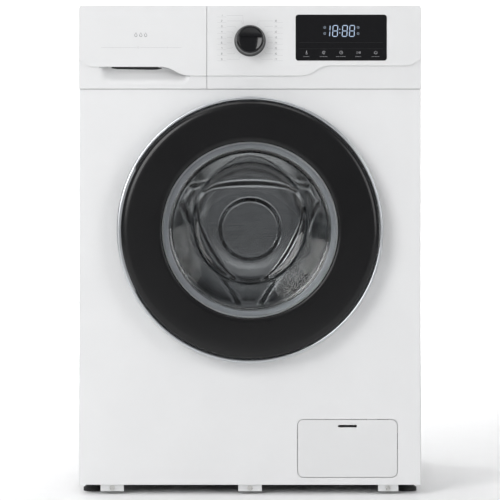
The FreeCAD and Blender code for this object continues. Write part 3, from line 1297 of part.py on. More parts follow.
# ---------------------------------------------------------------- suspension and feet
def suspension_springs():
    z0 = AXIS_Z + SPRING_LUG_TOP
    z1 = Z_TOP - 36
    springs = []
    for x in (-SPRING_X, SPRING_X):
        coil = rod_z(SPRING_R, x, SPRING_Y, z0 + 14, z1 - 14)
        coil = coil.cut(rod_z(SPRING_R - 3.2, x, SPRING_Y, z0, z1))
        ends = [rod_z(SPRING_R - 1, x, SPRING_Y, z0 + 12, z0 + 15), rod_z(SPRING_R - 1, x, SPRING_Y, z1 - 15, z1 - 12)]
        hooks = [rod_z(2.2, x, SPRING_Y, z0, z0 + 13), rod_z(2.2, x, SPRING_Y, z1 - 13, z1 + 8)]
        button = rod_z(5, x, SPRING_Y, z1 + 3, z1 + 6)
        springs.append(joined([coil, button] + ends + hooks))
    return Part.makeCompound(springs)


def damper_axis():
    """Length and lean of a damper, from its base pin to its top pin."""
    run = DAMPER_BASE_X - DAMPER_TOP_X
    rise = DAMPER_TOP_Z - DAMPER_BASE_Z
    return math.hypot(run, rise), math.degrees(math.atan2(run, rise))


DAMPER_CYLINDER_END = 112.0
DAMPER_ROD_START = 62.0


def placed_damper(shape, side):
    """An upright damper piece on the base pin, leaned to its top pin."""
    length, lean = damper_axis()
    shape.rotate(V(0, 0, 0), V(0, 1, 0), -side * lean)
    shape.translate(V(side * DAMPER_BASE_X, DAMPER_Y, DAMPER_BASE_Z))
    return shape


def damper_cylinder(side):
    eye = rod_y(9, 0, 0, -8.4, 8.4)
    barrel = rod_z(DAMPER_R, 0, 0, 14, DAMPER_CYLINDER_END)
    neck = rod_z(8, 0, 0, 4, 15)
    body = joined([eye, barrel, neck])
    body = body.cut(rod_y(DAMPER_PIN_R + RUNNING, 0, 0, -10, 10))
    body = body.cut(rod_z(12.4, 0, 0, 20, DAMPER_CYLINDER_END - 6))
    body = body.cut(rod_z(5 + RUNNING, 0, 0, DAMPER_CYLINDER_END - 7, DAMPER_CYLINDER_END + 1))
    return placed_damper(body, side)


def damper_rod(side):
    length, lean = damper_axis()
    eye = rod_y(9, 0, length, -8.4, 8.4)
    rod = rod_z(5, 0, 0, DAMPER_ROD_START, length - 6)
    piston = rod_z(12.0, 0, 0, DAMPER_ROD_START - 4, DAMPER_ROD_START + 12)
    body = joined([eye, rod, piston])
    body = body.cut(rod_y(DAMPER_PIN_R + OPEN_PIVOT, 0, length, -10, 10))
    return placed_damper(body, side)


def foot(x, y):
    pad = rod_z(FOOT_PAD_R, x, y, 0, 6)
    cap = Part.makeCone(FOOT_PAD_R, FOOT_PAD_R - 6, FOOT_PAD_H - 6, V(x, y, 6), V(0, 0, 1))
    stud = rod_z(FOOT_STUD_R, x, y, FOOT_PAD_H - 1, BASE_Z1 + 12)
    return joined([pad, cap, stud])


def foot_lock_nuts():
    nuts = []
    for x in (-FOOT_X, FOOT_X):
        for y in (FOOT_Y_FRONT, FOOT_Y_BACK):
            corners = []
            for index in range(6):
                angle = math.radians(60 * index)
                corners.append(V(x + 9.8 * math.cos(angle), y + 9.8 * math.sin(angle), BASE_Z0 - LOCK_NUT_H))
            nut = Part.Face(Part.makePolygon(corners + corners[:1])).extrude(V(0, 0, LOCK_NUT_H))
            nuts.append(nut.cut(rod_z(FOOT_STUD_R + RUNNING, x, y, 0, BASE_Z0 + 1)))
    return Part.makeCompound(nuts)


# ---------------------------------------------------------------- all the pieces
save("left_side_panel", side_panel(-1))
save("right_side_panel", side_panel(1))
save("rear_wall", rear_wall())
save("rear_service_cover", rear_service_cover())
save("top_cover", top_cover())
save("front_panel", front_panel())
save("base_frame", base_frame())
save("control_fascia", control_fascia())
save("display_lens", display_lens())
save("display_board", display_board())
save("programme_knob", programme_knob())
save("drawer_front", drawer_front())
save("drawer_tray", drawer_tray())
save("siphon_cap", siphon_cap())
save("drawer_release_tab", drawer_release_tab())
save("dispenser_housing", dispenser_housing())
save("door_inner_frame", door_inner_frame())
save("door_front_ring", door_front_ring())
save("door_trim_ring", door_trim_ring())
save("door_glass", door_glass())
save("door_hinge_arm", door_hinge_arm())
save("door_hinge_bracket", door_hinge_bracket())
save("door_screws", door_screws())
save("door_hook", door_hook())
save("door_lock", door_lock())
save("door_seal", door_seal())
save("filter_flap", filter_flap())
save("pump_housing", pump_housing())
save("pump_filter", pump_filter())
save("pump_motor", pump_motor())
save("sump_hose", sump_hose())
save("fill_hose", fill_hose())
save("drain_hose", drain_hose())
save("drain_outlet", drain_outlet())
save("inlet_valve", inlet_valve())
save("inlet_hose", inlet_hose())
save("mains_gland", mains_gland())
save("control_module", control_module())
save("transit_caps", transit_caps())
save("cabinet_screws", cabinet_screws())
save("tub_front", tub_front())
save("tub_rear", tub_rear())
save("counterweights", counterweights())
save("drum_shell", drum_shell())
save("drum_lifters", drum_lifters())
save("drum_spider", drum_spider())
save("drum_pulley", drum_pulley())
save("motor_body", motor_body())
save("motor_pulley", motor_pulley())
save("drive_belt", drive_belt())
save("suspension_springs", suspension_springs())
for word, side in (("left", -1), ("right", 1)):
    save("damper_" + word + "_cylinder", damper_cylinder(side))
    save("damper_" + word + "_rod", damper_rod(side))
for row_word, foot_y in (("front", FOOT_Y_FRONT), ("rear", FOOT_Y_BACK)):
    for word, side in (("left", -1), ("right", 1)):
        save("foot_" + row_word + "_" + word, foot(side * FOOT_X, foot_y))
save("foot_lock_nuts", foot_lock_nuts())
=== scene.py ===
# %% [markdown]
# # A front-loading washing machine
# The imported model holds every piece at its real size. This lesson keeps the pieces whose shape is
# already right and gives them a finish, and makes the rest again where a plain shape isn't enough:
# the smooth door, the glass bowl, the rubber seal, the perforated drum and the printed panel.

import math

import bmesh
import bpy
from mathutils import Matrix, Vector


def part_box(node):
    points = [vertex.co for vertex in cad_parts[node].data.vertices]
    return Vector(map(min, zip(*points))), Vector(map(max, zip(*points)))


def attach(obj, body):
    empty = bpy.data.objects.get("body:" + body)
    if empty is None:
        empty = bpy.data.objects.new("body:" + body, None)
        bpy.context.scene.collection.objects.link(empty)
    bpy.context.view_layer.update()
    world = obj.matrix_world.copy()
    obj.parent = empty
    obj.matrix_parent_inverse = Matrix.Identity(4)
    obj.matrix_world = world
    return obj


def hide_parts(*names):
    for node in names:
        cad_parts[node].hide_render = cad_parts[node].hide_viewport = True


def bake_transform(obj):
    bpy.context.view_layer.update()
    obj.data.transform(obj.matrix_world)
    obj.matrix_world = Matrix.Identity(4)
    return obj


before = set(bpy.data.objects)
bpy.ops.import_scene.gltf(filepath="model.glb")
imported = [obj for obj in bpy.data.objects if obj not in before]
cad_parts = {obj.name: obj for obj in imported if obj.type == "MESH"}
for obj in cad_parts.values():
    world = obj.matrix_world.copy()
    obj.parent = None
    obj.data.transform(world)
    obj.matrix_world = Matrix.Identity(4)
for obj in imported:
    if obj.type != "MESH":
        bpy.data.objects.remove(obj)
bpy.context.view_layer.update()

# %% [markdown]
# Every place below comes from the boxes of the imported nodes. The door turns about one line from
# front to back, so its centre and the plane of the front panel are enough to place all the rings.

# %% Places read from the frame
MM = 0.001


def low(node):
    return Vector(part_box(node)[0])


def high(node):
    return Vector(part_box(node)[1])


def middle(node):
    return (low(node) + high(node)) / 2


panel_y = low("front_panel").y
door_z = middle("door_trim_ring").z
door_r = high("door_trim_ring").x
door_face = low("door_front_ring").y
window_r = high("door_seal").x - 20 * MM
raised_y = low("control_fascia").y
split_z = low("control_fascia").z
top_z = high("control_fascia").z
knob = middle("programme_knob")
lens_low = low("display_lens")
lens_high = high("display_lens")
print("door centre height", round(door_z, 4), "door radius", round(door_r, 4))

# %% [markdown]
# Almost every surface of a machine like this is slightly uneven: paint has a soft skin, mouldings
# have a fine grain, and handling leaves the gloss a little patchy. Three node groups give that to
# all the materials. Each one puts out values that change over the surface, and nothing else.

# %% Node group helpers
def new_group(name, inputs, outputs):
    """A shader node group; an input's kind follows from how many numbers its default has."""
    kinds = {1: "NodeSocketFloat", 3: "NodeSocketVector", 4: "NodeSocketColor"}
    tree = bpy.data.node_groups.new(name, "ShaderNodeTree")
    for title, default in inputs.items():
        kind = kinds[len(default) if isinstance(default, tuple) else 1]
        tree.interface.new_socket(title, in_out="INPUT", socket_type=kind).default_value = default
    for title in outputs:
        tree.interface.new_socket(title, in_out="OUTPUT", socket_type=kinds[4 if title == "Colour" else 1])
    return tree, tree.nodes.new("NodeGroupInput"), tree.nodes.new("NodeGroupOutput")


def node(tree, kind, **values):
    """A node with its settings and unlinked inputs set by name."""
    made = tree.nodes.new(kind)
    for key, value in values.items():
        title = key.replace("_", " ")
        if title in made.inputs:
            made.inputs[title].default_value = value
        else:
            setattr(made, key, value)
    return made


def colour_math(tree, blend, factor, first, second):
    """Mix two colours; each may be a socket or a plain colour."""
    mix = tree.nodes.new("ShaderNodeMix")
    mix.data_type = "RGBA"
    mix.blend_type = blend
    mix.clamp_result = True
    for socket, value in ((mix.inputs[0], factor), (mix.inputs[6], first), (mix.inputs[7], second)):
        if isinstance(value, bpy.types.NodeSocket):
            tree.links.new(value, socket)
        else:
            socket.default_value = value
    return mix.outputs[2]


def value_math(tree, operation, first, second=0.0):
    """A maths node; each side may be a socket or a number."""
    maths = tree.nodes.new("ShaderNodeMath")
    maths.operation = operation
    for socket, value in zip(maths.inputs, (first, second)):
        if isinstance(value, bpy.types.NodeSocket):
            tree.links.new(value, socket)
        else:
            socket.default_value = value
    return maths.outputs[0]


def shaded(tree, colour, shade):
    """A colour times a brightness that changes over the surface."""
    grey = tree.nodes.new("ShaderNodeCombineColor")
    for socket in grey.inputs[:3]:
        tree.links.new(shade, socket)
    return colour_math(tree, "MULTIPLY", 1.0, colour, grey.outputs[0])


def spread(tree, value, low_out, high_out, low_in=0.3, high_in=0.7):
    """Stretch a noise value to a range."""
    ranged = node(tree, "ShaderNodeMapRange", From_Min=low_in, From_Max=high_in, To_Min=low_out,
                  To_Max=high_out)
    tree.links.new(value, ranged.inputs["Value"])
    return ranged.outputs[0]


# %% The shared groups: skin, brushed lines and handling marks
def make_skin_group():
    tree, entry, leave = new_group(
        "moulded_skin",
        {"Colour": (0.8, 0.8, 0.8, 1), "Grain Scale": 900.0, "Roughness": 0.4, "Patchiness": 0.06,
         "Tint": 0.03},
        ["Colour", "Roughness", "Height"])
    link = tree.links.new
    place = node(tree, "ShaderNodeTexCoord")
    grain = node(tree, "ShaderNodeTexNoise", Detail=3.0, Roughness=0.6)
    link(place.outputs["Object"], grain.inputs["Vector"])
    link(entry.outputs["Grain Scale"], grain.inputs["Scale"])
    patches = node(tree, "ShaderNodeTexNoise", Scale=7.0, Detail=4.0, Roughness=0.55)
    link(place.outputs["Object"], patches.inputs["Vector"])
    centred = spread(tree, patches.outputs["Fac"], -1.0, 1.0)
    darker = value_math(tree, "MULTIPLY", centred, entry.outputs["Tint"])
    shade = value_math(tree, "SUBTRACT", 1.0, value_math(tree, "ABSOLUTE", darker))
    link(shaded(tree, entry.outputs["Colour"], shade), leave.inputs["Colour"])
    uneven = value_math(tree, "MULTIPLY", centred, entry.outputs["Patchiness"])
    link(value_math(tree, "ADD", entry.outputs["Roughness"], uneven), leave.inputs["Roughness"])
    link(grain.outputs["Fac"], leave.inputs["Height"])
    return tree


def make_brushed_group():
    tree, entry, leave = new_group(
        "brushed_lines",
        {"Colour": (0.6, 0.6, 0.6, 1), "Stretch": (40, 900, 900), "Roughness": 0.25, "Depth": 0.1},
        ["Colour", "Roughness", "Height"])
    link = tree.links.new
    place = node(tree, "ShaderNodeTexCoord")
    stretched = tree.nodes.new("ShaderNodeVectorMath")
    stretched.operation = "MULTIPLY"
    link(place.outputs["Object"], stretched.inputs[0])
    link(entry.outputs["Stretch"], stretched.inputs[1])
    lines = node(tree, "ShaderNodeTexNoise", Scale=1.0, Detail=5.0, Roughness=0.7)
    link(stretched.outputs[0], lines.inputs["Vector"])
    streak = spread(tree, lines.outputs["Fac"], -1.0, 1.0)
    deep = value_math(tree, "MULTIPLY", streak, entry.outputs["Depth"])
    shade = value_math(tree, "ADD", 1.0, value_math(tree, "MULTIPLY", deep, 0.6))
    link(shaded(tree, entry.outputs["Colour"], shade), leave.inputs["Colour"])
    link(value_math(tree, "ADD", entry.outputs["Roughness"], deep), leave.inputs["Roughness"])
    link(lines.outputs["Fac"], leave.inputs["Height"])
    return tree


def make_marks_group():
    tree, entry, leave = new_group(
        "handling_marks",
        {"Colour": (0.8, 0.8, 0.8, 1), "Dust Colour": (0.5, 0.48, 0.45, 1), "Amount": 0.15, "Scale": 26.0},
        ["Colour", "Mask"])
    link = tree.links.new
    place = node(tree, "ShaderNodeTexCoord")
    cloud = node(tree, "ShaderNodeTexNoise", Detail=6.0, Roughness=0.65)
    link(place.outputs["Object"], cloud.inputs["Vector"])
    link(entry.outputs["Scale"], cloud.inputs["Scale"])
    mask = spread(tree, cloud.outputs["Fac"], 0.0, 1.0, 0.48, 0.72)
    amount = value_math(tree, "MULTIPLY", mask, entry.outputs["Amount"])
    link(colour_math(tree, "MIX", amount, entry.outputs["Colour"], entry.outputs["Dust Colour"]),
                   leave.inputs["Colour"])
    link(amount, leave.inputs["Mask"])
    return tree


skin_group = make_skin_group()
brushed_group = make_brushed_group()
marks_group = make_marks_group()
print("groups", [group.name for group in (skin_group, brushed_group, marks_group)])

# %% [markdown]
# A material keeps its own shader, and constants that are the same all over are set on the shader
# itself. Only colour, roughness and height come from the groups. Three makers cover the machine:
# moulded or painted surfaces, which the rubber uses too, brushed or cast metal, and galvanised sheet.

# %% Material makers
def blank(name):
    material = bpy.data.materials.new(name)
    material.use_nodes = True
    tree = material.node_tree
    return material, tree, tree.nodes["Principled BSDF"]


def place_group(tree, group, **values):
    made = tree.nodes.new("ShaderNodeGroup")
    made.node_tree = group
    for key, value in values.items():
        made.inputs[key.replace("_", " ")].default_value = value
    return made


def bump_from(tree, height, shader, strength, distance):
    bump = node(tree, "ShaderNodeBump", Strength=strength, Distance=distance)
    tree.links.new(height, bump.inputs["Height"])
    tree.links.new(bump.outputs["Normal"], shader.inputs["Normal"])


def dusted(tree, surface, amount):
    """The colour with handling marks over it, where an amount is given."""
    if not amount:
        return surface
    marks = place_group(tree, marks_group, Amount=amount)
    tree.links.new(surface, marks.inputs["Colour"])
    return marks.outputs["Colour"]


def dress(tree, shader, group, bump=0.0, distance=0.0, dust=0.0):
    """Lead a group's colour, roughness and height to the shader."""
    tree.links.new(dusted(tree, group.outputs["Colour"], dust), shader.inputs["Base Color"])
    tree.links.new(group.outputs["Roughness"], shader.inputs["Roughness"])
    if bump:
        bump_from(tree, group.outputs["Height"], shader, bump, distance)


def moulded(name, colour, roughness, grain=900.0, bump=0.05, patch=0.05, tint=0.02, coat=0.0, specular=0.5,
            dust=0.0):
    """Paint, lacquer or plastic: a soft grain, patchy gloss and, where asked, some dust."""
    material, tree, shader = blank(name)
    skin = place_group(tree, skin_group, Colour=(*colour, 1), Grain_Scale=grain, Roughness=roughness,
                       Patchiness=patch, Tint=tint)
    dress(tree, shader, skin, bump, 0.0004, dust)
    shader.inputs["Specular IOR Level"].default_value = specular
    shader.inputs["Coat Weight"].default_value = coat
    shader.inputs["Coat Roughness"].default_value = 0.06
    return material


def metal(name, colour, roughness, stretch=(40, 900, 900), depth=0.06, bump=0.04, metallic=1.0, dust=0.0):
    """Drawn, brushed or cast metal, with its lines along one direction."""
    material, tree, shader = blank(name)
    lines = place_group(tree, brushed_group, Colour=(*colour, 1), Stretch=stretch, Roughness=roughness,
                        Depth=depth)
    dress(tree, shader, lines, bump, 0.0003, dust)
    shader.inputs["Metallic"].default_value = metallic
    return material


def spangled(name, colour, roughness):
    """Galvanised sheet: flat zinc crystals of slightly different brightness."""
    material, tree, shader = blank(name)
    place = node(tree, "ShaderNodeTexCoord")
    cells = node(tree, "ShaderNodeTexVoronoi", Scale=70.0)
    tree.links.new(place.outputs["Object"], cells.inputs["Vector"])
    ramp = tree.nodes.new("ShaderNodeValToRGB")
    ramp.color_ramp.elements[0].color = (*[c * 0.86 for c in colour], 1)
    ramp.color_ramp.elements[1].color = (*[min(1.0, c * 1.12) for c in colour], 1)
    tree.links.new(cells.outputs["Color"], ramp.inputs["Fac"])
    tree.links.new(ramp.outputs["Color"], shader.inputs["Base Color"])
    uneven = spread(tree, cells.outputs["Distance"], roughness - 0.08, roughness + 0.12, 0.0, 0.6)
    tree.links.new(uneven, shader.inputs["Roughness"])
    shader.inputs["Metallic"].default_value = 0.85
    bump_from(tree, cells.outputs["Distance"], shader, 0.03, 0.0003)
    return material


# %% The machine's finishes
white_enamel = moulded("white_enamel", (0.81, 0.813, 0.816), 0.32, grain=420.0, bump=0.05,
                       patch=0.04, coat=0.15)
white_panel = moulded("white_panel_plastic", (0.775, 0.778, 0.78), 0.36, grain=1500.0, bump=0.05, patch=0.04)
white_inner = moulded("white_inner_plastic", (0.72, 0.73, 0.73), 0.5, grain=1200.0, bump=0.08, dust=0.1)
grey_moulding = moulded("grey_moulding", (0.52, 0.53, 0.54), 0.45, grain=1300.0, bump=0.1)
pale_moulding = moulded("pale_door_moulding", (0.66, 0.67, 0.68), 0.42, grain=1300.0, bump=0.08)
black_gloss = moulded("black_gloss", (0.006, 0.006, 0.007), 0.1, grain=300.0, bump=0.01,
                      patch=0.02, specular=0.45)
black_ring = moulded("black_door_ring", (0.007, 0.007, 0.0075), 0.24, grain=1600.0, bump=0.04, patch=0.03,
                     specular=0.35)
# Plain black moulding; the black strip under the pocket's lip is also drawn in it as painted shadow.
black_moulding_and_painted_shadow = moulded("black_moulding_and_painted_shadow", (0.02, 0.02, 0.021), 0.5, grain=1300.0, bump=0.12)
blue_moulding = moulded("blue_key_plastic", (0.1, 0.26, 0.48), 0.38, grain=1300.0, bump=0.06)
circuit_green = moulded("circuit_board_lacquer", (0.01, 0.1, 0.04), 0.35, grain=240.0, bump=0.2)
tub_moulding = moulded("tub_moulding", (0.55, 0.56, 0.56), 0.55, grain=700.0, bump=0.2, tint=0.05, dust=0.2)
concrete = moulded("cast_concrete", (0.3, 0.3, 0.29), 0.85, grain=260.0, bump=0.7, patch=0.1,
                   tint=0.18, dust=0.3)
seal_rubber = moulded("grey_seal_rubber", (0.38, 0.4, 0.43), 0.42, grain=1000.0, bump=0.1, patch=0.08)
black_rubber = moulded("black_rubber", (0.018, 0.018, 0.018), 0.62, grain=900.0, bump=0.25,
                       patch=0.1, dust=0.12)
grey_hose = moulded("grey_hose_rubber", (0.3, 0.3, 0.31), 0.55, grain=900.0, bump=0.2)
galvanised = spangled("galvanised_sheet", (0.62, 0.64, 0.65), 0.38)
zinc_plate = metal("zinc_plated_steel", (0.66, 0.66, 0.64), 0.3, stretch=(700, 700, 90), depth=0.08)
silver_trim = metal("silver_door_trim", (0.58, 0.6, 0.62), 0.3, stretch=(500, 500, 500), depth=0.03,
                    bump=0.01, metallic=0.9)
cast_alloy = metal("cast_alloy", (0.5, 0.5, 0.51), 0.5, stretch=(260, 260, 260), depth=0.12,
                   bump=0.4, dust=0.1)
motor_alloy = metal("motor_casting", (0.42, 0.43, 0.44), 0.45, stretch=(300, 60, 300), depth=0.1, bump=0.25)
drum_steel = metal("drum_stainless", (0.42, 0.43, 0.44), 0.13, stretch=(14, 400, 900), depth=0.06, bump=0.025)
spring_steel = metal("spring_steel", (0.5, 0.51, 0.52), 0.3, stretch=(600, 600, 600), depth=0.06)
print("finishes", len(bpy.data.materials))

# %% [markdown]
# Door glass is clear and slightly grey. It keeps a plain transmission weight, and only its
# roughness is a little uneven, the way moulded glass has faint flow marks.

# %% Glass and printed inks
def clear_glass():
    material, tree, shader = blank("bowl_glass")
    skin = place_group(tree, skin_group, Colour=(0.97, 0.98, 0.98, 1), Grain_Scale=14.0, Roughness=0.015,
                       Patchiness=0.01, Tint=0.01)
    dress(tree, shader, skin, 0.08, 0.0015)
    shader.inputs["Transmission Weight"].default_value = 1.0
    shader.inputs["IOR"].default_value = 1.47
    return material


def ink(name, colour, glow=0.0):
    """Printed or lit marks, and marks of painted shade, with a fine screen-print grain."""
    material, tree, shader = blank(name)
    skin = place_group(tree, skin_group, Colour=(*colour, 1), Grain_Scale=2600.0, Roughness=0.5,
                       Patchiness=0.05, Tint=0.05)
    dress(tree, shader, skin)
    if glow:
        tree.links.new(skin.outputs["Colour"], shader.inputs["Emission Color"])
        shader.inputs["Emission Strength"].default_value = glow
    return material


bowl_glass = clear_glass()
grey_ink = ink("grey_print", (0.2, 0.2, 0.21))
# Pale grey print; the grey line along the pocket's lip is also drawn in it as painted shade.
pale_ink_and_painted_shade = ink("pale_print_and_painted_shade", (0.45, 0.45, 0.46))
lit_digits = ink("lit_digits", (0.42, 0.53, 0.7), glow=0.5)
lit_icons = ink("lit_icons", (0.3, 0.36, 0.44), glow=0.3)
key_print = ink("key_print", (0.42, 0.42, 0.44), glow=0.1)
lens_line_ink = ink("lens_line_ink", (0.012, 0.0125, 0.0135))
print("glass and inks made")

# %% [markdown]
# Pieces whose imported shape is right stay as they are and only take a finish. One table of names
# says which finish each of them wears.

# %% Give the carried-over pieces their finishes
finish_of = [
    (white_enamel, ["left_side_panel", "right_side_panel", "front_panel"]),
    (white_panel, ["top_cover", "filter_flap", "drawer_front", "control_fascia"]),
    (white_inner, ["base_frame", "inlet_valve", "transit_caps"]),
    (grey_moulding, ["pump_housing", "pump_filter", "drain_outlet", "damper_left_rod",
                                      "damper_right_rod", "control_module", "drum_lifters"]),
    (pale_moulding, ["door_inner_frame", "drawer_tray", "dispenser_housing"]),
    (black_gloss, ["display_lens"]),
    (black_moulding_and_painted_shadow, ["door_lock", "mains_gland", "damper_left_cylinder",
                                        "damper_right_cylinder"]),
    (blue_moulding, ["siphon_cap", "drawer_release_tab"]),
    (circuit_green, ["display_board"]),
    (tub_moulding, ["tub_front", "tub_rear"]),
    (concrete, ["counterweights"]),
    (black_rubber, ["inlet_hose", "drive_belt", "foot_front_left", "foot_front_right",
                                    "foot_rear_left", "foot_rear_right"]),
    (grey_hose, ["drain_hose"]),
    (galvanised, ["rear_wall", "rear_service_cover"]),
    (zinc_plate, ["door_hinge_arm", "door_hinge_bracket", "door_screws", "door_hook",
                                "cabinet_screws", "foot_lock_nuts", "motor_pulley"]),
    (cast_alloy, ["drum_spider", "drum_pulley"]),
    (motor_alloy, ["motor_body", "pump_motor"]),
]
for material, names in finish_of:
    for name in names:
        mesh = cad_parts[name].data
        mesh.materials.clear()
        mesh.materials.append(material)
print("dressed", sum(len(names) for material, names in finish_of), "pieces")

# %% [markdown]
# The door, dial and seal are all turned shapes. One lathe helper makes them: it takes an outline of
# radius and depth, rounds its corners by cutting them twice, and turns it about the door's line.
# A closed outline gives a closed ring with an even, smooth skin.

# %% Lathe and mesh helpers
def shown(name, data):
    """An object of its own for a mesh, lamp or camera, linked into the scene."""
    made = bpy.data.objects.new(name, data)
    bpy.context.scene.collection.objects.link(made)
    return made


def finished(name, mesh_builder, material, body, smooth_angle=35.0):
    """Turn a bmesh into a shaded object that rides on a body."""
    mesh = bpy.data.meshes.new(name)
    bmesh.ops.remove_doubles(mesh_builder, verts=mesh_builder.verts, dist=1e-6)
    bmesh.ops.recalc_face_normals(mesh_builder, faces=mesh_builder.faces)
    mesh_builder.to_mesh(mesh)
    mesh_builder.free()
    mesh.materials.append(material)
    mesh.shade_smooth()
    mesh.set_sharp_from_angle(angle=math.radians(smooth_angle))
    piece = shown(name, mesh)
    if body:
        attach(piece, body)
    return piece


def softened(outline, times=2, share=0.22, closed=True):
    """Cut the corners of an outline, so that it turns softly."""
    for _ in range(times):
        cut = [] if closed else [outline[0]]
        pairs = list(zip(outline, outline[1:] + (outline[:1] if closed else [])))
        for (ax, ay), (bx, by) in pairs:
            cut.append((ax + (bx - ax) * share, ay + (by - ay) * share))
            cut.append((bx - (bx - ax) * share, by - (by - ay) * share))
        outline = cut if closed else cut + [outline[-1]]
    return outline


def full_turn(steps):
    """The angles of equal steps round a circle."""
    return [2 * math.pi * step / steps for step in range(steps)]


def band(shape, near, far):
    """Faces between two rings of corners; a ring of one corner closes to a point."""
    count = max(len(near), len(far))
    near, far = (ring if len(ring) > 1 else ring * count for ring in (near, far))
    for step in range(count):
        other = (step + 1) % count
        shape.faces.new(list(dict.fromkeys((near[step], far[step], far[other], near[other]))))


def bands(shape, rings, closed=False):
    """Faces between each ring and the next, and back to the first where the row of rings is closed."""
    for near, far in zip(rings, rings[1:] + (rings[:1] if closed else [])):
        band(shape, near, far)


def turned(outline, place, segments=160, axis="Y"):
    """A bmesh of an outline in (radius, depth) turned about Y or Z through a place."""
    shape = bmesh.new()
    rings = []
    for angle in full_turn(segments):
        ring = []
        for radius, depth in outline:
            across = radius * math.cos(angle)
            along = radius * math.sin(angle)
            point = (across, depth, along) if axis == "Y" else (across, along, depth)
            ring.append(shape.verts.new(Vector(point) + place))
        rings.append(ring)
    bands(shape, rings, closed=True)
    return shape


def mm_outline(points):
    """Points in millimetres from the door's line and the front panel, in metres."""
    return [(radius * MM, panel_y + depth * MM) for radius, depth in points]


door_line = Vector((0, 0, door_z))

# %% [markdown]
# The black ring is one wide moulding. Its face is nearly flat, the inner lip rolls over to hold the
# glass and the outer edge falls away to the silver trim. The trim is a narrow bright band with a
# dark groove between the two.

# %% Door rings
outer = door_r / MM
window = window_r / MM
face = (door_face - panel_y) / MM
grip_reach, grip_ease, hinge_reach = 29.0, 1.5, 11.3
trim_inner, trim_outer, trim_rear, trim_front = 224.2, 229.9, -4.6, -31.7


def trim_outline(angle):
    """The silver band's section at an angle in degrees: wider at the grip, cut back at the hinge."""
    from_left = abs((angle % 360) - 180)
    from_right = min(angle % 360, 360 - angle % 360)
    grip = min(1.0, max(0.0, (grip_reach - from_left) / grip_ease))
    hinge = 1.0 if from_right < hinge_reach else 0.0
    inner = trim_inner - 2.6 * grip
    rear = trim_rear - 16.9 * grip - 22.2 * hinge
    return mm_outline([
        (inner, rear), (inner, trim_front + 1.7 + 0.4 * grip), (inner + 0.8, trim_front + 0.5),
        (inner + 2.4 + 1.6 * grip, trim_front), (trim_outer - 1.5, trim_front + 0.3 + 0.2 * grip),
        (trim_outer - 0.4, trim_front + 1.5), (trim_outer, trim_front + 3.3), (trim_outer, rear)])


def trim_mesh(steps=720):
    shape = bmesh.new()
    rings = [[shape.verts.new((radius * math.cos(angle), y, door_z + radius * math.sin(angle)))
              for radius, y in trim_outline(math.degrees(angle))] for angle in full_turn(steps)]
    bands(shape, rings, closed=True)
    return shape


trim_band = finished("door_trim_band", trim_mesh(), silver_trim, "door", 40.0)
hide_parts("door_trim_ring")
print("trim faces", len(trim_band.data.polygons))

black_ring_outline = mm_outline([
    (window - 0.4, face + 8.5), (window - 0.4, face + 3.2), (window + 1.6, face + 1.0),
    (window + 5.0, face + 0.1), (outer - 40, face + 0.0), (outer - 18, face + 0.0),
    (outer - 12, face + 1.6), (outer - 7.4, face + 6.6), (outer - 7.0, face + 11.0),
    (outer - 10.0, face + 11.0), (outer - 17.0, face + 4.4), (outer - 22, face + 3.4),
    (window + 9, face + 3.4), (window + 4, face + 4.8), (window + 4, face + 8.5)])
door_black_ring = finished("door_black_ring", turned(softened(black_ring_outline, 1, 0.12), door_line, 220),
                           black_ring, "door", 50.0)
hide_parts("door_front_ring")
print("black ring faces", len(door_black_ring.data.polygons))

# %% [markdown]
# The bowl is pressed glass. It starts round at the rim and ends as a taller oval that sits higher,
# so that clothes slide off it. Each ring of the mesh blends between the two shapes by its depth.

# %% Glass bowl
bowl_depth = high("door_glass").y - panel_y
rim_depth = -24.0 * MM
end_tall = 116.0 / 108.0
end_raise = 14.0 * MM


def bowl_mesh(outline, segments=192):
    shape = bmesh.new()
    rings = []
    for radius, depth in outline:
        share = min(1.0, max(0.0, (depth - rim_depth) / (bowl_depth - rim_depth)))
        centre = door_z + end_raise * share
        tall = 1.0 + (end_tall - 1.0) * share
        if radius < 1e-5:
            rings.append([shape.verts.new((0, panel_y + depth, centre))])
            continue
        rings.append([shape.verts.new((radius * math.cos(angle), panel_y + depth,
                                       centre + radius * tall * math.sin(angle)))
                      for angle in full_turn(segments)])
    bands(shape, rings)
    return shape


bowl_outline = softened([(radius * MM, depth * MM) for radius, depth in [
    (0, 85.6), (60, 84.6), (88, 82.6), (99, 78.0), (103.6, 70.0), (131.2, -19.0), (134, -26.0), (140, -29.0),
    (161.8, -29.0), (161.8, -24.6), (142, -24.6), (138.4, -22.0), (135.8, -16.0), (108.0, 72.0),
    (104.0, 81.0), (96.0, 86.4), (62, 87.4), (0, 88.0)]], 2, 0.25, closed=False)
glass_bowl = finished("door_glass_bowl", bowl_mesh(bowl_outline), bowl_glass, "door", 60.0)
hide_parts("door_glass")
print("bowl faces", len(glass_bowl.data.polygons), "depth", round(bowl_depth, 4))

# %% [markdown]
# The seal is one grey rubber moulding. Its front lip clips round the panel's hole and its back
# sleeve clamps on the tub's neck, with a fold between, so that the tub can shake while the front
# stays still.

# %% Door seal
seal_outline = softened(mm_outline([
    (172, -2.2), (160, -2.6), (152, -2.2), (144, 0.6), (138.4, 4.0), (138.2, 8.2), (146, 10.5), (154, 14),
    (154, 26), (148.4, 33), (148.4, 40), (156, 46.5), (156.5, 53.8), (165.2, 54.2), (165.2, 72),
    (168.4, 72), (168.4, 49.5), (160, 44), (152.6, 38.2), (152.6, 34.6), (158, 28.5), (158, 15.2),
    (167.8, 15), (167.8, -0.1), (172, -0.1)]), 2, 0.2)
seal = finished("door_seal_bellows", turned(seal_outline, door_line, 180), seal_rubber, None, 60.0)
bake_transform(seal)
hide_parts("door_seal")
print("seal faces", len(seal.data.polygons))

# %% [markdown]
# The drum is punched stainless steel. Real holes are made here with Geometry Nodes: one small
# square cell with a round hole is placed on a flat grid, the cells are welded into a sheet, and the
# sheet is rolled into a cylinder. The number of columns and rows are inputs of the tree.

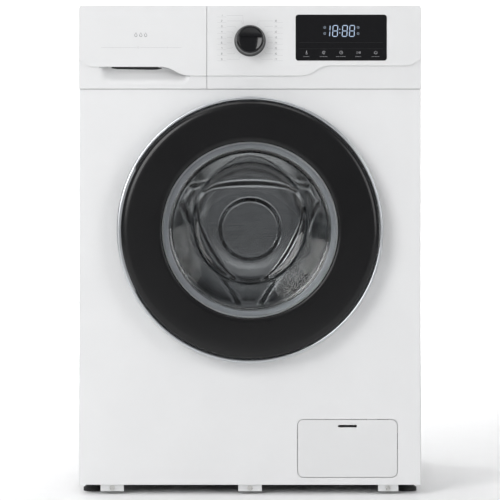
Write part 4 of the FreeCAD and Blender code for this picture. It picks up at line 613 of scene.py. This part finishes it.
# %% One punched cell
drum_low = low("drum_shell")
drum_high = high("drum_shell")
sheet = 0.8 * MM
drum_r = drum_high.x - sheet - 0.1 * MM
drum_back = drum_high.y - 6.4 * MM
wall_y0 = drum_low.y + 12 * MM
wall_y1 = drum_back - 8 * MM
columns = 108
rows = 20
pitch_x = 2 * math.pi * drum_r / columns
pitch_y = (wall_y1 - wall_y0) / rows
hole_r = 1.9 * MM


def punched_cell():
    """One hole in its own square of sheet, with a soft lip on the inner side."""
    shape = bmesh.new()
    loops = [[] for _ in range(5)]
    for angle in full_turn(8):
        across, along = math.cos(angle), math.sin(angle)
        reach = 0.5 / max(abs(across), abs(along))
        places = [(pitch_x * reach * across, pitch_y * reach * along, 0),
                  (hole_r * 1.5 * across, hole_r * 1.5 * along, 0),
                  (hole_r * across, hole_r * along, -sheet / 2),
                  (hole_r * across, hole_r * along, -sheet),
                  (pitch_x * reach * across, pitch_y * reach * along, -sheet)]
        for loop, place in zip(loops, places):
            loop.append(shape.verts.new(place))
    bands(shape, loops)
    mesh = bpy.data.meshes.new("punched_cell")
    shape.to_mesh(mesh)
    shape.free()
    return bpy.data.objects.new("punched_cell", mesh)


cell = punched_cell()
print("cell", round(pitch_x / MM, 2), "x", round(pitch_y / MM, 2), "mm")


# %% The rolled sheet tree
def rolled_sheet_tree(cell_object, material):
    tree = bpy.data.node_groups.new("rolled_punched_sheet", "GeometryNodeTree")
    add, link = tree.nodes.new, tree.links.new
    for way in ("INPUT", "OUTPUT"):
        tree.interface.new_socket("Geometry", in_out=way, socket_type="NodeSocketGeometry")
    for title, kind in (("Radius", "NodeSocketFloat"), ("Length", "NodeSocketFloat"),
                        ("Columns", "NodeSocketInt"), ("Rows", "NodeSocketInt"), ("Start", "NodeSocketFloat"),
                        ("Height", "NodeSocketFloat")):
        tree.interface.new_socket(title, in_out="INPUT", socket_type=kind)
    entry = add("NodeGroupInput")
    leave = add("NodeGroupOutput")
    around = value_math(tree, "MULTIPLY", entry.outputs["Radius"], 2 * math.pi)
    step_x = value_math(tree, "DIVIDE", around, entry.outputs["Columns"])
    step_y = value_math(tree, "DIVIDE", entry.outputs["Length"], entry.outputs["Rows"])
    grid = add("GeometryNodeMeshGrid")
    link(value_math(tree, "SUBTRACT", around, step_x), grid.inputs["Size X"])
    link(value_math(tree, "SUBTRACT", entry.outputs["Length"], step_y), grid.inputs["Size Y"])
    link(entry.outputs["Columns"], grid.inputs["Vertices X"])
    link(entry.outputs["Rows"], grid.inputs["Vertices Y"])
    source = add("GeometryNodeObjectInfo")
    source.inputs["Object"].default_value = cell_object
    spread_out = add("GeometryNodeInstanceOnPoints")
    link(grid.outputs["Mesh"], spread_out.inputs["Points"])
    link(source.outputs["Geometry"], spread_out.inputs["Instance"])
    real = add("GeometryNodeRealizeInstances")
    link(spread_out.outputs[0], real.inputs[0])
    place = add("GeometryNodeInputPosition")
    split = add("ShaderNodeSeparateXYZ")
    link(place.outputs[0], split.inputs[0])
    angle = value_math(tree, "DIVIDE", split.outputs["X"], entry.outputs["Radius"])
    reach = value_math(tree, "SUBTRACT", entry.outputs["Radius"], split.outputs["Z"])
    rolled = add("ShaderNodeCombineXYZ")
    link(value_math(tree, "MULTIPLY", reach, value_math(tree, "SINE", angle)), rolled.inputs["X"])
    half = value_math(tree, "MULTIPLY", entry.outputs["Length"], 0.5)
    along = value_math(tree, "ADD", split.outputs["Y"], value_math(tree, "ADD", half, entry.outputs["Start"]))
    link(along, rolled.inputs["Y"])
    up = value_math(tree, "MULTIPLY", reach, value_math(tree, "COSINE", angle))
    link(value_math(tree, "ADD", up, entry.outputs["Height"]), rolled.inputs["Z"])
    move = add("GeometryNodeSetPosition")
    link(real.outputs[0], move.inputs["Geometry"])
    link(rolled.outputs[0], move.inputs["Position"])
    weld = add("GeometryNodeMergeByDistance")
    weld.inputs["Distance"].default_value = 0.0002
    link(move.outputs[0], weld.inputs["Geometry"])
    dress = add("GeometryNodeSetMaterial")
    dress.inputs["Material"].default_value = material
    link(weld.outputs[0], dress.inputs["Geometry"])
    link(dress.outputs[0], leave.inputs["Geometry"])
    return tree


def baked(tree, name, values):
    """Run a tree on an empty mesh and keep the result as a plain mesh."""
    carrier = shown(name, bpy.data.meshes.new(name + "_carrier"))
    modifier = carrier.modifiers.new("build", "NODES")
    modifier.node_group = tree
    for item in tree.interface.items_tree:
        if item.in_out == "INPUT" and item.name in values:
            modifier[item.identifier] = values[item.name]
    evaluated = carrier.evaluated_get(bpy.context.evaluated_depsgraph_get())
    mesh = bpy.data.meshes.new_from_object(evaluated)
    carrier.modifiers.remove(modifier)
    carrier.data = mesh
    return carrier


sheet_tree = rolled_sheet_tree(cell, drum_steel)
drum_wall = baked(sheet_tree, "drum_punched_wall", {
    "Radius": drum_r, "Length": wall_y1 - wall_y0, "Columns": columns, "Rows": rows, "Start": wall_y0,
    "Height": door_z})
edged = bmesh.new()
edged.from_mesh(drum_wall.data)
for end in (wall_y0, wall_y1):
    rim = [edge for edge in edged.edges if edge.is_boundary and abs(edge.verts[0].co.y - end) < 1e-4
           and abs(edge.verts[1].co.y - end) < 1e-4]
    bmesh.ops.bridge_loops(edged, edges=rim)
bmesh.ops.recalc_face_normals(edged, faces=edged.faces)
print("open edges left on the drum wall", sum(edge.is_boundary for edge in edged.edges))
edged.to_mesh(drum_wall.data)
edged.free()
drum_wall.data.shade_smooth()
drum_wall.data.set_sharp_from_angle(angle=math.radians(25))
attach(drum_wall, "drum")
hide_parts("drum_shell")
print("drum wall holes", columns * rows, "faces", len(drum_wall.data.polygons))

# %% [markdown]
# The drum's two ends close the punched wall. The front end is a turned lip round the mouth. The back
# is one pressed disc: a round dish in the middle over the shaft, and a three-sided raised field round
# it that stiffens the sheet. Its height is worked out at each point of a polar grid, on both sides of
# the sheet.

# %% Drum front lip and pressed back
def smooth_step(value, start, end):
    share = min(1.0, max(0.0, (value - start) / (end - start)))
    return share * share * (3 - 2 * share)


mouth_r = 150 * MM
dish_r = 64 * MM
lobe_rise = 6 * MM
dish_depth = drum_high.y - drum_back - 1.2 * MM


def back_height(radius, angle):
    """How far the pressed back stands behind its flat plane."""
    dish = dish_depth * (1 - smooth_step(radius, dish_r - 8 * MM, dish_r))
    turn = (angle - math.pi / 2 + math.pi / 3) % (2 * math.pi / 3) - math.pi / 3
    edge = 93 * MM / max(0.6, math.cos(turn))
    lobe = smooth_step(radius, edge - 8 * MM, edge + 10 * MM) * (1 - smooth_step(radius, 200 * MM, 216 * MM))
    return dish - lobe_rise * lobe


def pressed_back():
    shape = bmesh.new()
    radii = [step * 3 * MM for step in range(1, 76)] + [drum_r - 8 * MM, drum_r - 4 * MM]
    segments = 160
    sides = []

    def ring_at(radius, depth_at):
        return [shape.verts.new((radius * math.cos(angle), drum_back + depth_at(angle),
                                 door_z + radius * math.sin(angle))) for angle in full_turn(segments)]

    turned_up = [(drum_r - 1.2 * MM, -1.2 * MM), (drum_r, -4 * MM), (drum_r, wall_y1 - drum_back)]
    for thick in (0, sheet):
        rings = [[shape.verts.new((0, drum_back + dish_depth + thick, door_z))]]
        rings += [ring_at(radius, lambda angle: thick + back_height(radius, angle)) for radius in radii]
        rings += [ring_at(radius + thick, lambda angle: depth + thick * (depth > -2 * MM))
                  for radius, depth in turned_up]
        bands(shape, rings)
        sides.append(rings[-1])
    bands(shape, sides)
    return shape


drum_back_disc = finished("drum_pressed_back", pressed_back(), drum_steel, "drum", 40.0)
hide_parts("drum_shell")
front = (drum_low.y - panel_y) / MM
wide = drum_r / MM
lip_outline = mm_outline([
    (mouth_r / MM + 0.4, front + 7), (mouth_r / MM + 0.4, front + 2.4), (mouth_r / MM + 4, front + 0.3),
    (mouth_r / MM + 9, front + 1.4), (mouth_r / MM + 16, front + 5.6), (wide - 10, front + 5.6),
    (wide - 3, front + 7), (wide, front + 10), (wide, front + 12), (wide + 0.8, front + 12),
    (wide + 0.8, front + 9.4), (wide - 2.6, front + 6.0), (wide - 9, front + 4.6),
    (mouth_r / MM + 16, front + 4.6),
    (mouth_r / MM + 9, front + 0.4), (mouth_r / MM + 4, front - 0.0), (mouth_r / MM, front + 1.6),
    (mouth_r / MM, front + 7)])
drum_lip = finished("drum_front_lip", turned(lip_outline, door_line, 180), drum_steel, "drum", 40.0)
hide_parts("drum_shell")
print("drum ends", len(drum_back_disc.data.polygons), len(drum_lip.data.polygons))

# %% [markdown]
# The dial is a small drum of gloss black plastic with a sloping side and a slightly sunk face. Fine
# ribs round its side give grip, so its radius is varied as it is turned.

# %% Programme dial
knob_low = low("programme_knob")
knob_high = high("programme_knob")
knob_x, knob_z = knob.x, knob.z
knob_base = (knob_high.x - knob_low.x) / 2
knob_face_y = knob_low.y
rib_depth = 0.35 * MM


def dial_mesh(segments=288, ribs=48):
    shape = bmesh.new()
    face_r = 23 * MM
    back_y = panel_y - 6.6 * MM
    profile = [(0.0, back_y), (knob_base - 1 * MM, back_y), (knob_base - 0.2 * MM, back_y - 0.8 * MM),
               (knob_base - 0.4 * MM, back_y - 2.4 * MM), (face_r + 2.2 * MM, back_y - 5 * MM),
               (face_r + 1.0 * MM, knob_face_y + 4 * MM), (face_r + 0.5 * MM, knob_face_y + 1.6 * MM),
               (face_r - 0.6 * MM, knob_face_y + 0.4 * MM), (face_r - 2 * MM, knob_face_y + 0.1 * MM),
               (face_r - 3.4 * MM, knob_face_y + 0.4 * MM), (face_r - 4.4 * MM, knob_face_y + 1.0 * MM),
               (0.0, knob_face_y + 1.0 * MM)]
    rings = []
    for index, (radius, y) in enumerate(profile):
        if radius == 0:
            rings.append([shape.verts.new((knob_x, y, knob_z))])
            continue
        deep = rib_depth if index in (4, 5) else 0
        ring = []
        for angle in full_turn(segments):
            reach = radius - deep * (0.5 + 0.5 * math.cos(ribs * angle))
            ring.append(shape.verts.new((knob_x + reach * math.cos(angle), y,
                                         knob_z + reach * math.sin(angle))))
        rings.append(ring)
    bands(shape, rings)
    return shape


dial = finished("programme_dial", dial_mesh(), black_gloss, "knob", 40.0)
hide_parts("programme_knob")
print("dial faces", len(dial.data.polygons))

# %% [markdown]
# All the printed and lit marks are thin strokes: a line of points, swept as a flat ribbon a tenth of
# a millimetre proud of the surface. Digits, leader lines, icons and edge lines all come from the
# same ribbon maker. Each set is one piece of closed strokes on the body that carries it.

# %% Ribbon maker
ink_height = 0.12 * MM


def ribbon(shape, path, width, y, closed=False):
    """Sweep a flat stroke along points (x, z), standing out from y; the width may be a list."""
    rows = []
    widths = width if isinstance(width, list) else [width] * len(path)
    count = len(path)
    for index, (x, z) in enumerate(path):
        before = path[index - 1] if index or closed else path[index]
        after = path[(index + 1) % count] if index < count - 1 or closed else path[index]
        along = Vector((after[0] - before[0], after[1] - before[1])).normalized()
        side = Vector((-along.y, along.x)) * widths[index] / 2
        rows.append([shape.verts.new((x + way * side.x, y - rise, z + way * side.y))
                     for way, rise in ((1, 0), (-1, 0), (-1, ink_height), (1, ink_height))])
    bands(shape, rows, closed)
    if not closed:
        shape.faces.new(rows[0])
        shape.faces.new(rows[-1][::-1])


def pen(shape, x, z, y):
    """A stroke maker that works in millimetres from the point (x, z) on a face at y."""
    def draw(points, width, closed=False):
        ribbon(shape, [(x + across * MM, z + up * MM) for across, up in points], width * MM, y, closed)
    return draw


def arc(x, z, radius, start=0, end=360, steps=20):
    """Points round part of a circle, in degrees from +X; a full circle leaves out its last point."""
    whole = abs(end - start) >= 360
    last = steps if whole else steps + 1
    angles = [math.radians(start + (end - start) * step / steps) for step in range(last)]
    return [(x + radius * math.cos(angle), z + radius * math.sin(angle)) for angle in angles]


# The seven strokes of a figure, from the top one clockwise, and the middle one last.
strokes_of = {"0": "abcdef", "1": "bc", "2": "abged", "3": "abgcd", "4": "fgbc", "5": "afgcd", "6": "afgedc",
              "7": "abc", "8": "abcdefg", "9": "gfabcd"}


def figure(draw, digit, x, z, width, height, stroke, gap=0.0):
    """One numeral with its lower left corner at (x, z), leaning a little, in millimetres."""
    lean = 0.06
    half = height / 2
    ends = {"a": ((gap, height), (width - gap, height)), "b": ((width, height - gap), (width, half + gap)),
            "c": ((width, half - gap), (width, gap)), "d": ((width - gap, 0), (gap, 0)),
            "e": ((0, gap), (0, half - gap)), "f": ((0, half + gap), (0, height - gap)),
            "g": ((gap, half), (width - gap, half))}
    for letter in strokes_of[digit]:
        draw([(x + across + lean * up, z + up) for across, up in ends[letter]], stroke)


def printed(name, draw, material, body):
    shape = bmesh.new()
    draw(shape)
    piece = finished(name, shape, material, body, 30.0)
    return piece


# %% [markdown]
# The display shows its lamp test: every stroke of the clock lit. Small lamps stand beside it, and
# five touch keys with plain icons run along the bottom of the lens.

# %% Display figures, lamps and touch keys
lens_y = lens_low.y
lens_x = lens_low.x
lens_z = lens_low.z


clock_wide, clock_tall, clock_stroke = 8.2, 19, 1.1
key_stroke = 0.5


def draw_clock(shape):
    draw = pen(shape, lens_x + 58 * MM, lens_z + 42 * MM, lens_y)
    for across, up in ((1.5, 10.6), (0.9, 0.6)):
        draw([(across, up), (across + 0.5, up + 7.8)], clock_stroke)
    for offset in (6.0, 22.6, 35.2):
        figure(draw, "8", offset, 0, clock_wide, clock_tall, clock_stroke, gap=0.8)
    for rise in (6.2, 12.4):
        draw(arc(18.6, rise, 0.4, steps=10), 0.8, True)


def draw_lamps(shape):
    draw = pen(shape, lens_x, lens_z, lens_y)
    for x in (50.5, 108.5):
        for z in (57.5, 47.0):
            draw(arc(x, z, 1.9, steps=16), 0.45, True)
            draw([(x - 0.9, z), (x + 0.9, z)], 0.4)


def draw_keys(shape):
    draw = pen(shape, lens_x, lens_z, lens_y)
    z = 14.0
    places = warm, again, delay, run, power = range(19, 140, 30)
    draw(arc(warm, z - 1.6, 1.3, steps=16), key_stroke, True)
    draw([(warm, z - 0.3), (warm, z + 3.2)], 0.9)
    draw(arc(again, z, 2.5, 20, 320), key_stroke)
    draw(arc(again, z, 1.2, 200, 500), key_stroke)
    draw(arc(delay, z, 2.6, steps=24), key_stroke, True)
    draw([(delay, z + 1.6), (delay, z), (delay + 1.3, z)], key_stroke)
    draw([(run - 2.8, z + 2.0), (run - 2.8, z - 2.0), (run + 0.2, z)], key_stroke, True)
    for across in (1.7, 3.2):
        draw([(run + across, z - 2), (run + across, z + 2)], 0.6)
    draw(arc(power, z, 2.5, 125, 415), key_stroke)
    draw([(power, z + 0.6), (power, z + 3.2)], key_stroke)
    for index, x in enumerate(places):
        dash = 3.0 + (index % 3)
        for mark in range(5):
            start = x + (mark - 2.5) * dash * 0.7
            draw([(start, z - 7), (start + dash * 0.45, z - 7)], key_stroke)


def draw_lens_lines(shape):
    for z in (lens_z + 31.5 * MM, lens_z + 20.5 * MM):
        ribbon(shape, [(lens_x + 6 * MM, z), (lens_high.x - 6 * MM, z)], 0.35 * MM, lens_y)


printed("display_clock", draw_clock, lit_digits, "cabinet")
printed("display_lamps", draw_lamps, lit_icons, "cabinet")
printed("display_keys", draw_keys, key_print, "cabinet")
printed("display_lines", draw_lens_lines, lens_line_ink, "cabinet")
print("display marks done")

# %% [markdown]
# Round the dial, the programmes are only numbered. Each number has a thin leader line that runs level
# and then turns in to the dial. The drawer front carries a row of drops and a hairline.

# %% Dial numbers, leader lines and drawer marks
rows_left = 9
row_pitch = 9.5 * MM
row_top = top_z - 18 * MM
numeral_pitch, numeral_wide, numeral_tall, numeral_stroke = 2.6, 1.6, 2.8, 0.42
leader_start, leader_bend, leader_end = 31.5 * MM, 2.5 * MM, 40 * MM
leader_fan = 38 * MM


def draw_numbers(shape):
    draw = pen(shape, knob_x, row_top, raised_y)
    number = 1
    for edge, rows, start in ((-50, rows_left, 0), (42, rows_left - 1, 1)):
        for row in range(rows):
            z = -(row + start) * row_pitch / MM - 1.3
            for place, digit in enumerate(str(number)):
                figure(draw, digit, edge + place * numeral_pitch, z, numeral_wide, numeral_tall,
                       numeral_stroke)
            number += 1


def draw_leaders(shape):
    for side, rows, start in ((-1, rows_left, 0), (1, rows_left - 1, 1)):
        for row in range(rows):
            z = row_top - (row + start) * row_pitch
            rise = z - knob_z
            angle = math.asin(max(-0.93, min(0.93, rise / leader_fan)))
            inner = (knob_x + side * leader_start * math.cos(angle), knob_z + leader_start * math.sin(angle))
            bend = (knob_x + side * (leader_start + leader_bend) * math.cos(angle), z)
            outer = (knob_x + side * leader_end, z)
            path = [inner, bend, outer] if abs(bend[0]) < abs(outer[0]) - 1 * MM else [inner, outer]
            ribbon(shape, path, 0.28 * MM, raised_y)
            under = z - 2.6 * MM
            rule = [(knob_x + side * across * MM, under) for across in (41, 57)]
            ribbon(shape, rule, 0.22 * MM, raised_y)


def draw_drops(shape):
    draw = pen(shape, 0, top_z - 52 * MM, raised_y)
    for x in (-198, -189.5, -181):
        draw([(x, 4.2)] + arc(x, -0.6, 2.2, 28, -208, 14), 0.75, True)


def draw_hairline(shape):
    draw = pen(shape, 0, top_z - 73.5 * MM, raised_y)
    for start, end in ((-258, -197), (-191, -145), (-141, -119)):
        draw([(start, 0), (end, 0)], 0.3)
    for x, radius in ((-194, 1.3), (-143, 0.8)):
        draw(arc(x, 0, radius, steps=14), 0.35, True)


printed("dial_numbers", draw_numbers, grey_ink, "cabinet")
printed("dial_leaders", draw_leaders, pale_ink_and_painted_shade, "cabinet")
printed("drawer_drops", draw_drops, grey_ink, "drawer")
printed("drawer_hairline", draw_hairline, pale_ink_and_painted_shade, "drawer")
print("dial and drawer marks done")

# %% [markdown]
# The hand pocket is a soft scoop. Its surface is a grid whose depth eases in from the bottom and the
# sides and is deepest behind the lip. Along the top, under the lip where the scoop ends, a black strip is
# painted shadow for the dark space behind the lip, and a fine pale line along the lip where it dips is
# painted shade.

# %% Pocket scoop, painted shadow slot and painted shade lip line
pocket_left, pocket_right = -262 * MM, -103 * MM
pocket_low, pocket_high = split_z + 6.6 * MM, split_z + 44 * MM
pocket_face = panel_y - 3 * MM
scoop_deep = 16.4 * MM


def scoop_depth(x, z):
    rise = smooth_step(z, pocket_low + 1 * MM, split_z + 34 * MM)
    left = smooth_step(x, pocket_left, pocket_left + 22 * MM)
    right = 1 - smooth_step(x, pocket_right - 22 * MM, pocket_right)
    return scoop_deep * rise * (left * right) - 0.05 * MM


def scoop_mesh(columns_of=96, rows_of=36):
    shape = bmesh.new()
    layers = []
    for thick in (0.0, 0.8 * MM):
        grid = []
        for row in range(rows_of + 1):
            z = pocket_low + (pocket_high - pocket_low) * row / rows_of
            line = []
            for column in range(columns_of + 1):
                x = pocket_left + (pocket_right - pocket_left) * column / columns_of
                line.append(shape.verts.new((x, pocket_face + scoop_depth(x, z) + thick, z)))
            grid.append(line)
        for near, far in zip(grid, grid[1:]):
            for column in range(columns_of):
                shape.faces.new([near[column], near[column + 1], far[column + 1], far[column]])
        layers.append(grid)
    front, rear = layers
    rims = []
    for grid in layers:
        rims.append(grid[0] + [line[-1] for line in grid[1:]] + grid[-1][-2::-1]
                    + [line[0] for line in grid[-2:0:-1]])
    bands(shape, rims)
    return shape


scoop = finished("pocket_scoop", scoop_mesh(), white_panel, "drawer", 60.0)


# A tapering black stroke on the pocket's back wall under the lip: painted shadow for the dark space behind
# the lip.
def draw_slot(shape):
    shares = [step / 12 for step in range(13)]
    ribbon(shape, [((-248 + 94 * share) * MM, split_z + (38.6 - 1.8 * share) * MM) for share in shares],
           [(1.2 + 4.4 * min(1.0, 6 * share, 9 * (1 - share))) * MM for share in shares],
           pocket_face + scoop_deep - 0.2 * MM)


# A pale grey stroke along the lip's lower edge where it dips, and a short level one at the left: painted
# shade under the lip.
def draw_lip_line(shape):
    shares = [step / 16 for step in range(17)]
    ribbon(shape, [((-156 + 52 * share) * MM, split_z + (37.6 - 15.5 * smooth_step(share, 0.0, 1.0)) * MM)
                   for share in shares], 1.3 * MM, pocket_face - 0.1 * MM)
    level = split_z + 37.5 * MM
    ribbon(shape, [(-262 * MM, level), (-246 * MM, level)], 1.2 * MM, pocket_face - 0.1 * MM)


# The two pocket strokes below are painted shadow and painted shade, not print.
printed("pocket_slot", draw_slot, black_moulding_and_painted_shadow, "drawer")
printed("pocket_lip_line", draw_lip_line, pale_ink_and_painted_shade, "drawer")
print("pocket faces", len(scoop.data.polygons))

# %% [markdown]
# Two pieces under the lid and beside the tub are wound wire. A coil spring is a helix with a hook
# bent up at each end, so its centreline is worked out turn by turn and swept with a round section.

# %% Suspension springs
def swept(shape, path, radius, sides=8):
    """Sweep a round section along points, with closed ends."""
    loops = []
    normal = Vector((0, 1, 0))
    for index, point in enumerate(path):
        before = path[max(0, index - 1)]
        after = path[min(len(path) - 1, index + 1)]
        along = (after - before).normalized()
        normal = (normal - along * normal.dot(along)).normalized()
        other = along.cross(normal)
        loops.append([shape.verts.new(point + (normal * math.cos(turn) + other * math.sin(turn)) * radius)
                      for turn in full_turn(sides)])
    bands(shape, loops)
    shape.faces.new(loops[0][::-1])
    shape.faces.new(loops[-1])


spring_low = low("suspension_springs")
spring_high = high("suspension_springs")
wire_r = 1.3 * MM
coil_r = 12.6 * MM
turns = 22
spring_x = spring_high.x - 14 * MM
spring_y = (spring_low.y + spring_high.y) / 2


def coil_path(x):
    """A straight tail, a closed helix and a straight tail, from the bottom hook to the top one."""
    bottom, top = spring_low.z + 16 * MM, spring_high.z - 16 * MM
    path = [Vector((x, spring_y, spring_low.z + wire_r)), Vector((x, spring_y, bottom - 5 * MM))]
    steps = turns * 20
    for step in range(steps + 1):
        share = step / steps
        angle = 2 * math.pi * turns * share
        opening = min(1.0, min(share, 1 - share) * steps / 10)
        reach = coil_r * opening
        path.append(Vector((x + reach * math.cos(angle), spring_y + reach * math.sin(angle),
                            bottom + (top - bottom) * share)))
    path += [Vector((x, spring_y, top + 5 * MM)), Vector((x, spring_y, spring_high.z - wire_r))]
    return path


wire = bmesh.new()
for x in (-spring_x, spring_x):
    swept(wire, coil_path(x), wire_r)
coils = finished("suspension_coils", wire, spring_steel, None, 60.0)
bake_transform(coils)
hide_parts("suspension_springs")
print("spring faces", len(coils.data.polygons))

# %% [markdown]
# The filler and the sump hose are rubber bellows. Each is a turned ring outline with soft round folds
# between plain cuffs. One end belongs to the shaking tub.

# %% Rubber bellows
def bellows_outline(node_name, folds):
    bottom, top = low(node_name).z, high(node_name).z
    outer_r = (high(node_name).x - low(node_name).x) / 2
    cuff, wall, depth = 8 * MM, 1.6 * MM, 3.4 * MM
    rise = (top - bottom - 2 * cuff) / folds
    outside = [(outer_r - depth, bottom), (outer_r - depth, bottom + cuff)]
    for fold in range(folds):
        start = bottom + cuff + rise * fold
        outside += [(outer_r - depth, start + rise * 0.12), (outer_r - 0.5 * MM, start + rise * 0.34),
                    (outer_r - 0.2 * MM, start + rise * 0.5), (outer_r - 0.5 * MM, start + rise * 0.66),
                    (outer_r - depth, start + rise * 0.88)]
    outside += [(outer_r - depth, top - cuff), (outer_r - depth, top)]
    inside = [(radius - wall, z) for radius, z in reversed(outside)]
    return outside + inside


for node_name, folds, first, second in (("sump_hose", 6, "cabinet", "tub"),
                                        ("fill_hose", 3, "tub", "cabinet")):
    centre = middle(node_name)
    line = Vector((centre.x, centre.y, 0))
    hose = finished(node_name + "_bellows", turned(bellows_outline(node_name, folds), line, 64, axis="Z"),
                    seal_rubber, None, 50.0)
    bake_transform(hose)
    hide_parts(node_name)
    print(hose.name, "faces", len(hose.data.polygons))

# %% [markdown]
# The helper cell that the grid was made from isn't part of the machine, so it goes before the end.

# %% Put the helper pieces away
bpy.data.objects.remove(cell)

# %% [markdown]
# A pale floor curves up far behind the machine with no visible corner. The light is soft: one large
# panel overhead, one in front on each side and one behind, and a wash on the backdrop. The left panel
# is the stronger of the front two, so that the body falls off a little to the right. The world is pale
# above the horizon and dim under it, so that polished steel and black gloss mirror a line between them.

# %% Floor and backdrop
floor_reach = 14.0
sweep_start = 4.8
sweep_r = 1.2
wall_top = 6.0


def backdrop():
    shape = bmesh.new()
    profile = [(-floor_reach, 0.0), (sweep_start, 0.0)]
    for step in range(1, 13):
        angle = math.pi / 2 * step / 12
        profile.append((sweep_start + sweep_r * math.sin(angle), sweep_r - sweep_r * math.cos(angle)))
    profile.append((sweep_start + sweep_r, wall_top))
    left = [shape.verts.new((-floor_reach, y, z)) for y, z in profile]
    right = [shape.verts.new((floor_reach, y, z)) for y, z in profile]
    for index in range(len(profile) - 1):
        shape.faces.new([left[index], right[index], right[index + 1], left[index + 1]])
    mesh = bpy.data.meshes.new("studio_floor")
    shape.to_mesh(mesh)
    shape.free()
    mesh.shade_smooth()
    mesh.materials.append(moulded("studio_paper", (0.93, 0.93, 0.93), 0.8, grain=60.0, bump=0.02,
                                  patch=0.05, tint=0.01))
    return shown("studio_floor", mesh)


floor = backdrop()
print("floor faces", len(floor.data.polygons))


# %% Soft studio light
def panel_light(name, place, target, width, height, watts):
    lamp = bpy.data.lights.new(name, "AREA")
    lamp.shape = "RECTANGLE"
    lamp.size = width
    lamp.size_y = height
    lamp.energy = watts
    made = shown(name, lamp)
    made.location = place
    made.rotation_euler = (Vector(target) - Vector(place)).to_track_quat("-Z", "Y").to_euler()


aim = (0, 0, 0.42)
panel_light("key_left", (-1.9, -3.0, 1.9), aim, 1.6, 2.2, 62)
panel_light("fill_right", (2.5, -2.6, 1.4), aim, 1.4, 2.0, 28)
panel_light("overhead", (0, -0.4, 2.9), (0, 0, 0), 2.6, 2.2, 30)
panel_light("backdrop_wash", (0, 4.4, 3.2), (0, 6.0, 0.5), 4.5, 0.8, 300)
panel_light("rear_fill", (-2.2, 2.6, 2.4), aim, 1.6, 1.6, 40)
world = bpy.data.worlds.new("studio_world")
world.use_nodes = True
sky = world.node_tree.nodes["Background"]
direction = node(world.node_tree, "ShaderNodeTexCoord")
parts = node(world.node_tree, "ShaderNodeSeparateXYZ")
world.node_tree.links.new(direction.outputs["Generated"], parts.inputs[0])
dim_below, pale_above, horizon = 0.03, 0.23, 0.012
above = spread(world.node_tree, parts.outputs["Z"], dim_below, pale_above, -horizon, horizon)
world.node_tree.links.new(above, sky.inputs["Strength"])
sky.inputs["Color"].default_value = (0.96, 0.97, 1.0, 1)
bpy.context.scene.world = world
bpy.context.scene.view_settings.view_transform = "Standard"

# %% [markdown]
# The camera stands straight in front of the door, a few steps back, at the height of the door's
# centre, and frames the whole machine.

# %% Camera
camera = bpy.data.cameras.new("camera")
stand_back = 3.4
framed_height = 0.869
machine_middle = 0.425
camera.sensor_width = 36.0
camera.lens = camera.sensor_width * stand_back / framed_height
camera.shift_y = (machine_middle - door_z) / framed_height
camera.clip_end = 60
camera_object = shown("camera", camera)
camera_object.location = (0, panel_y - stand_back, door_z)
camera_object.rotation_euler = (math.pi / 2, 0, 0)
bpy.context.scene.camera = camera_object
print("lens", round(camera.lens, 1), "mm, shift", round(camera.shift_y, 4))
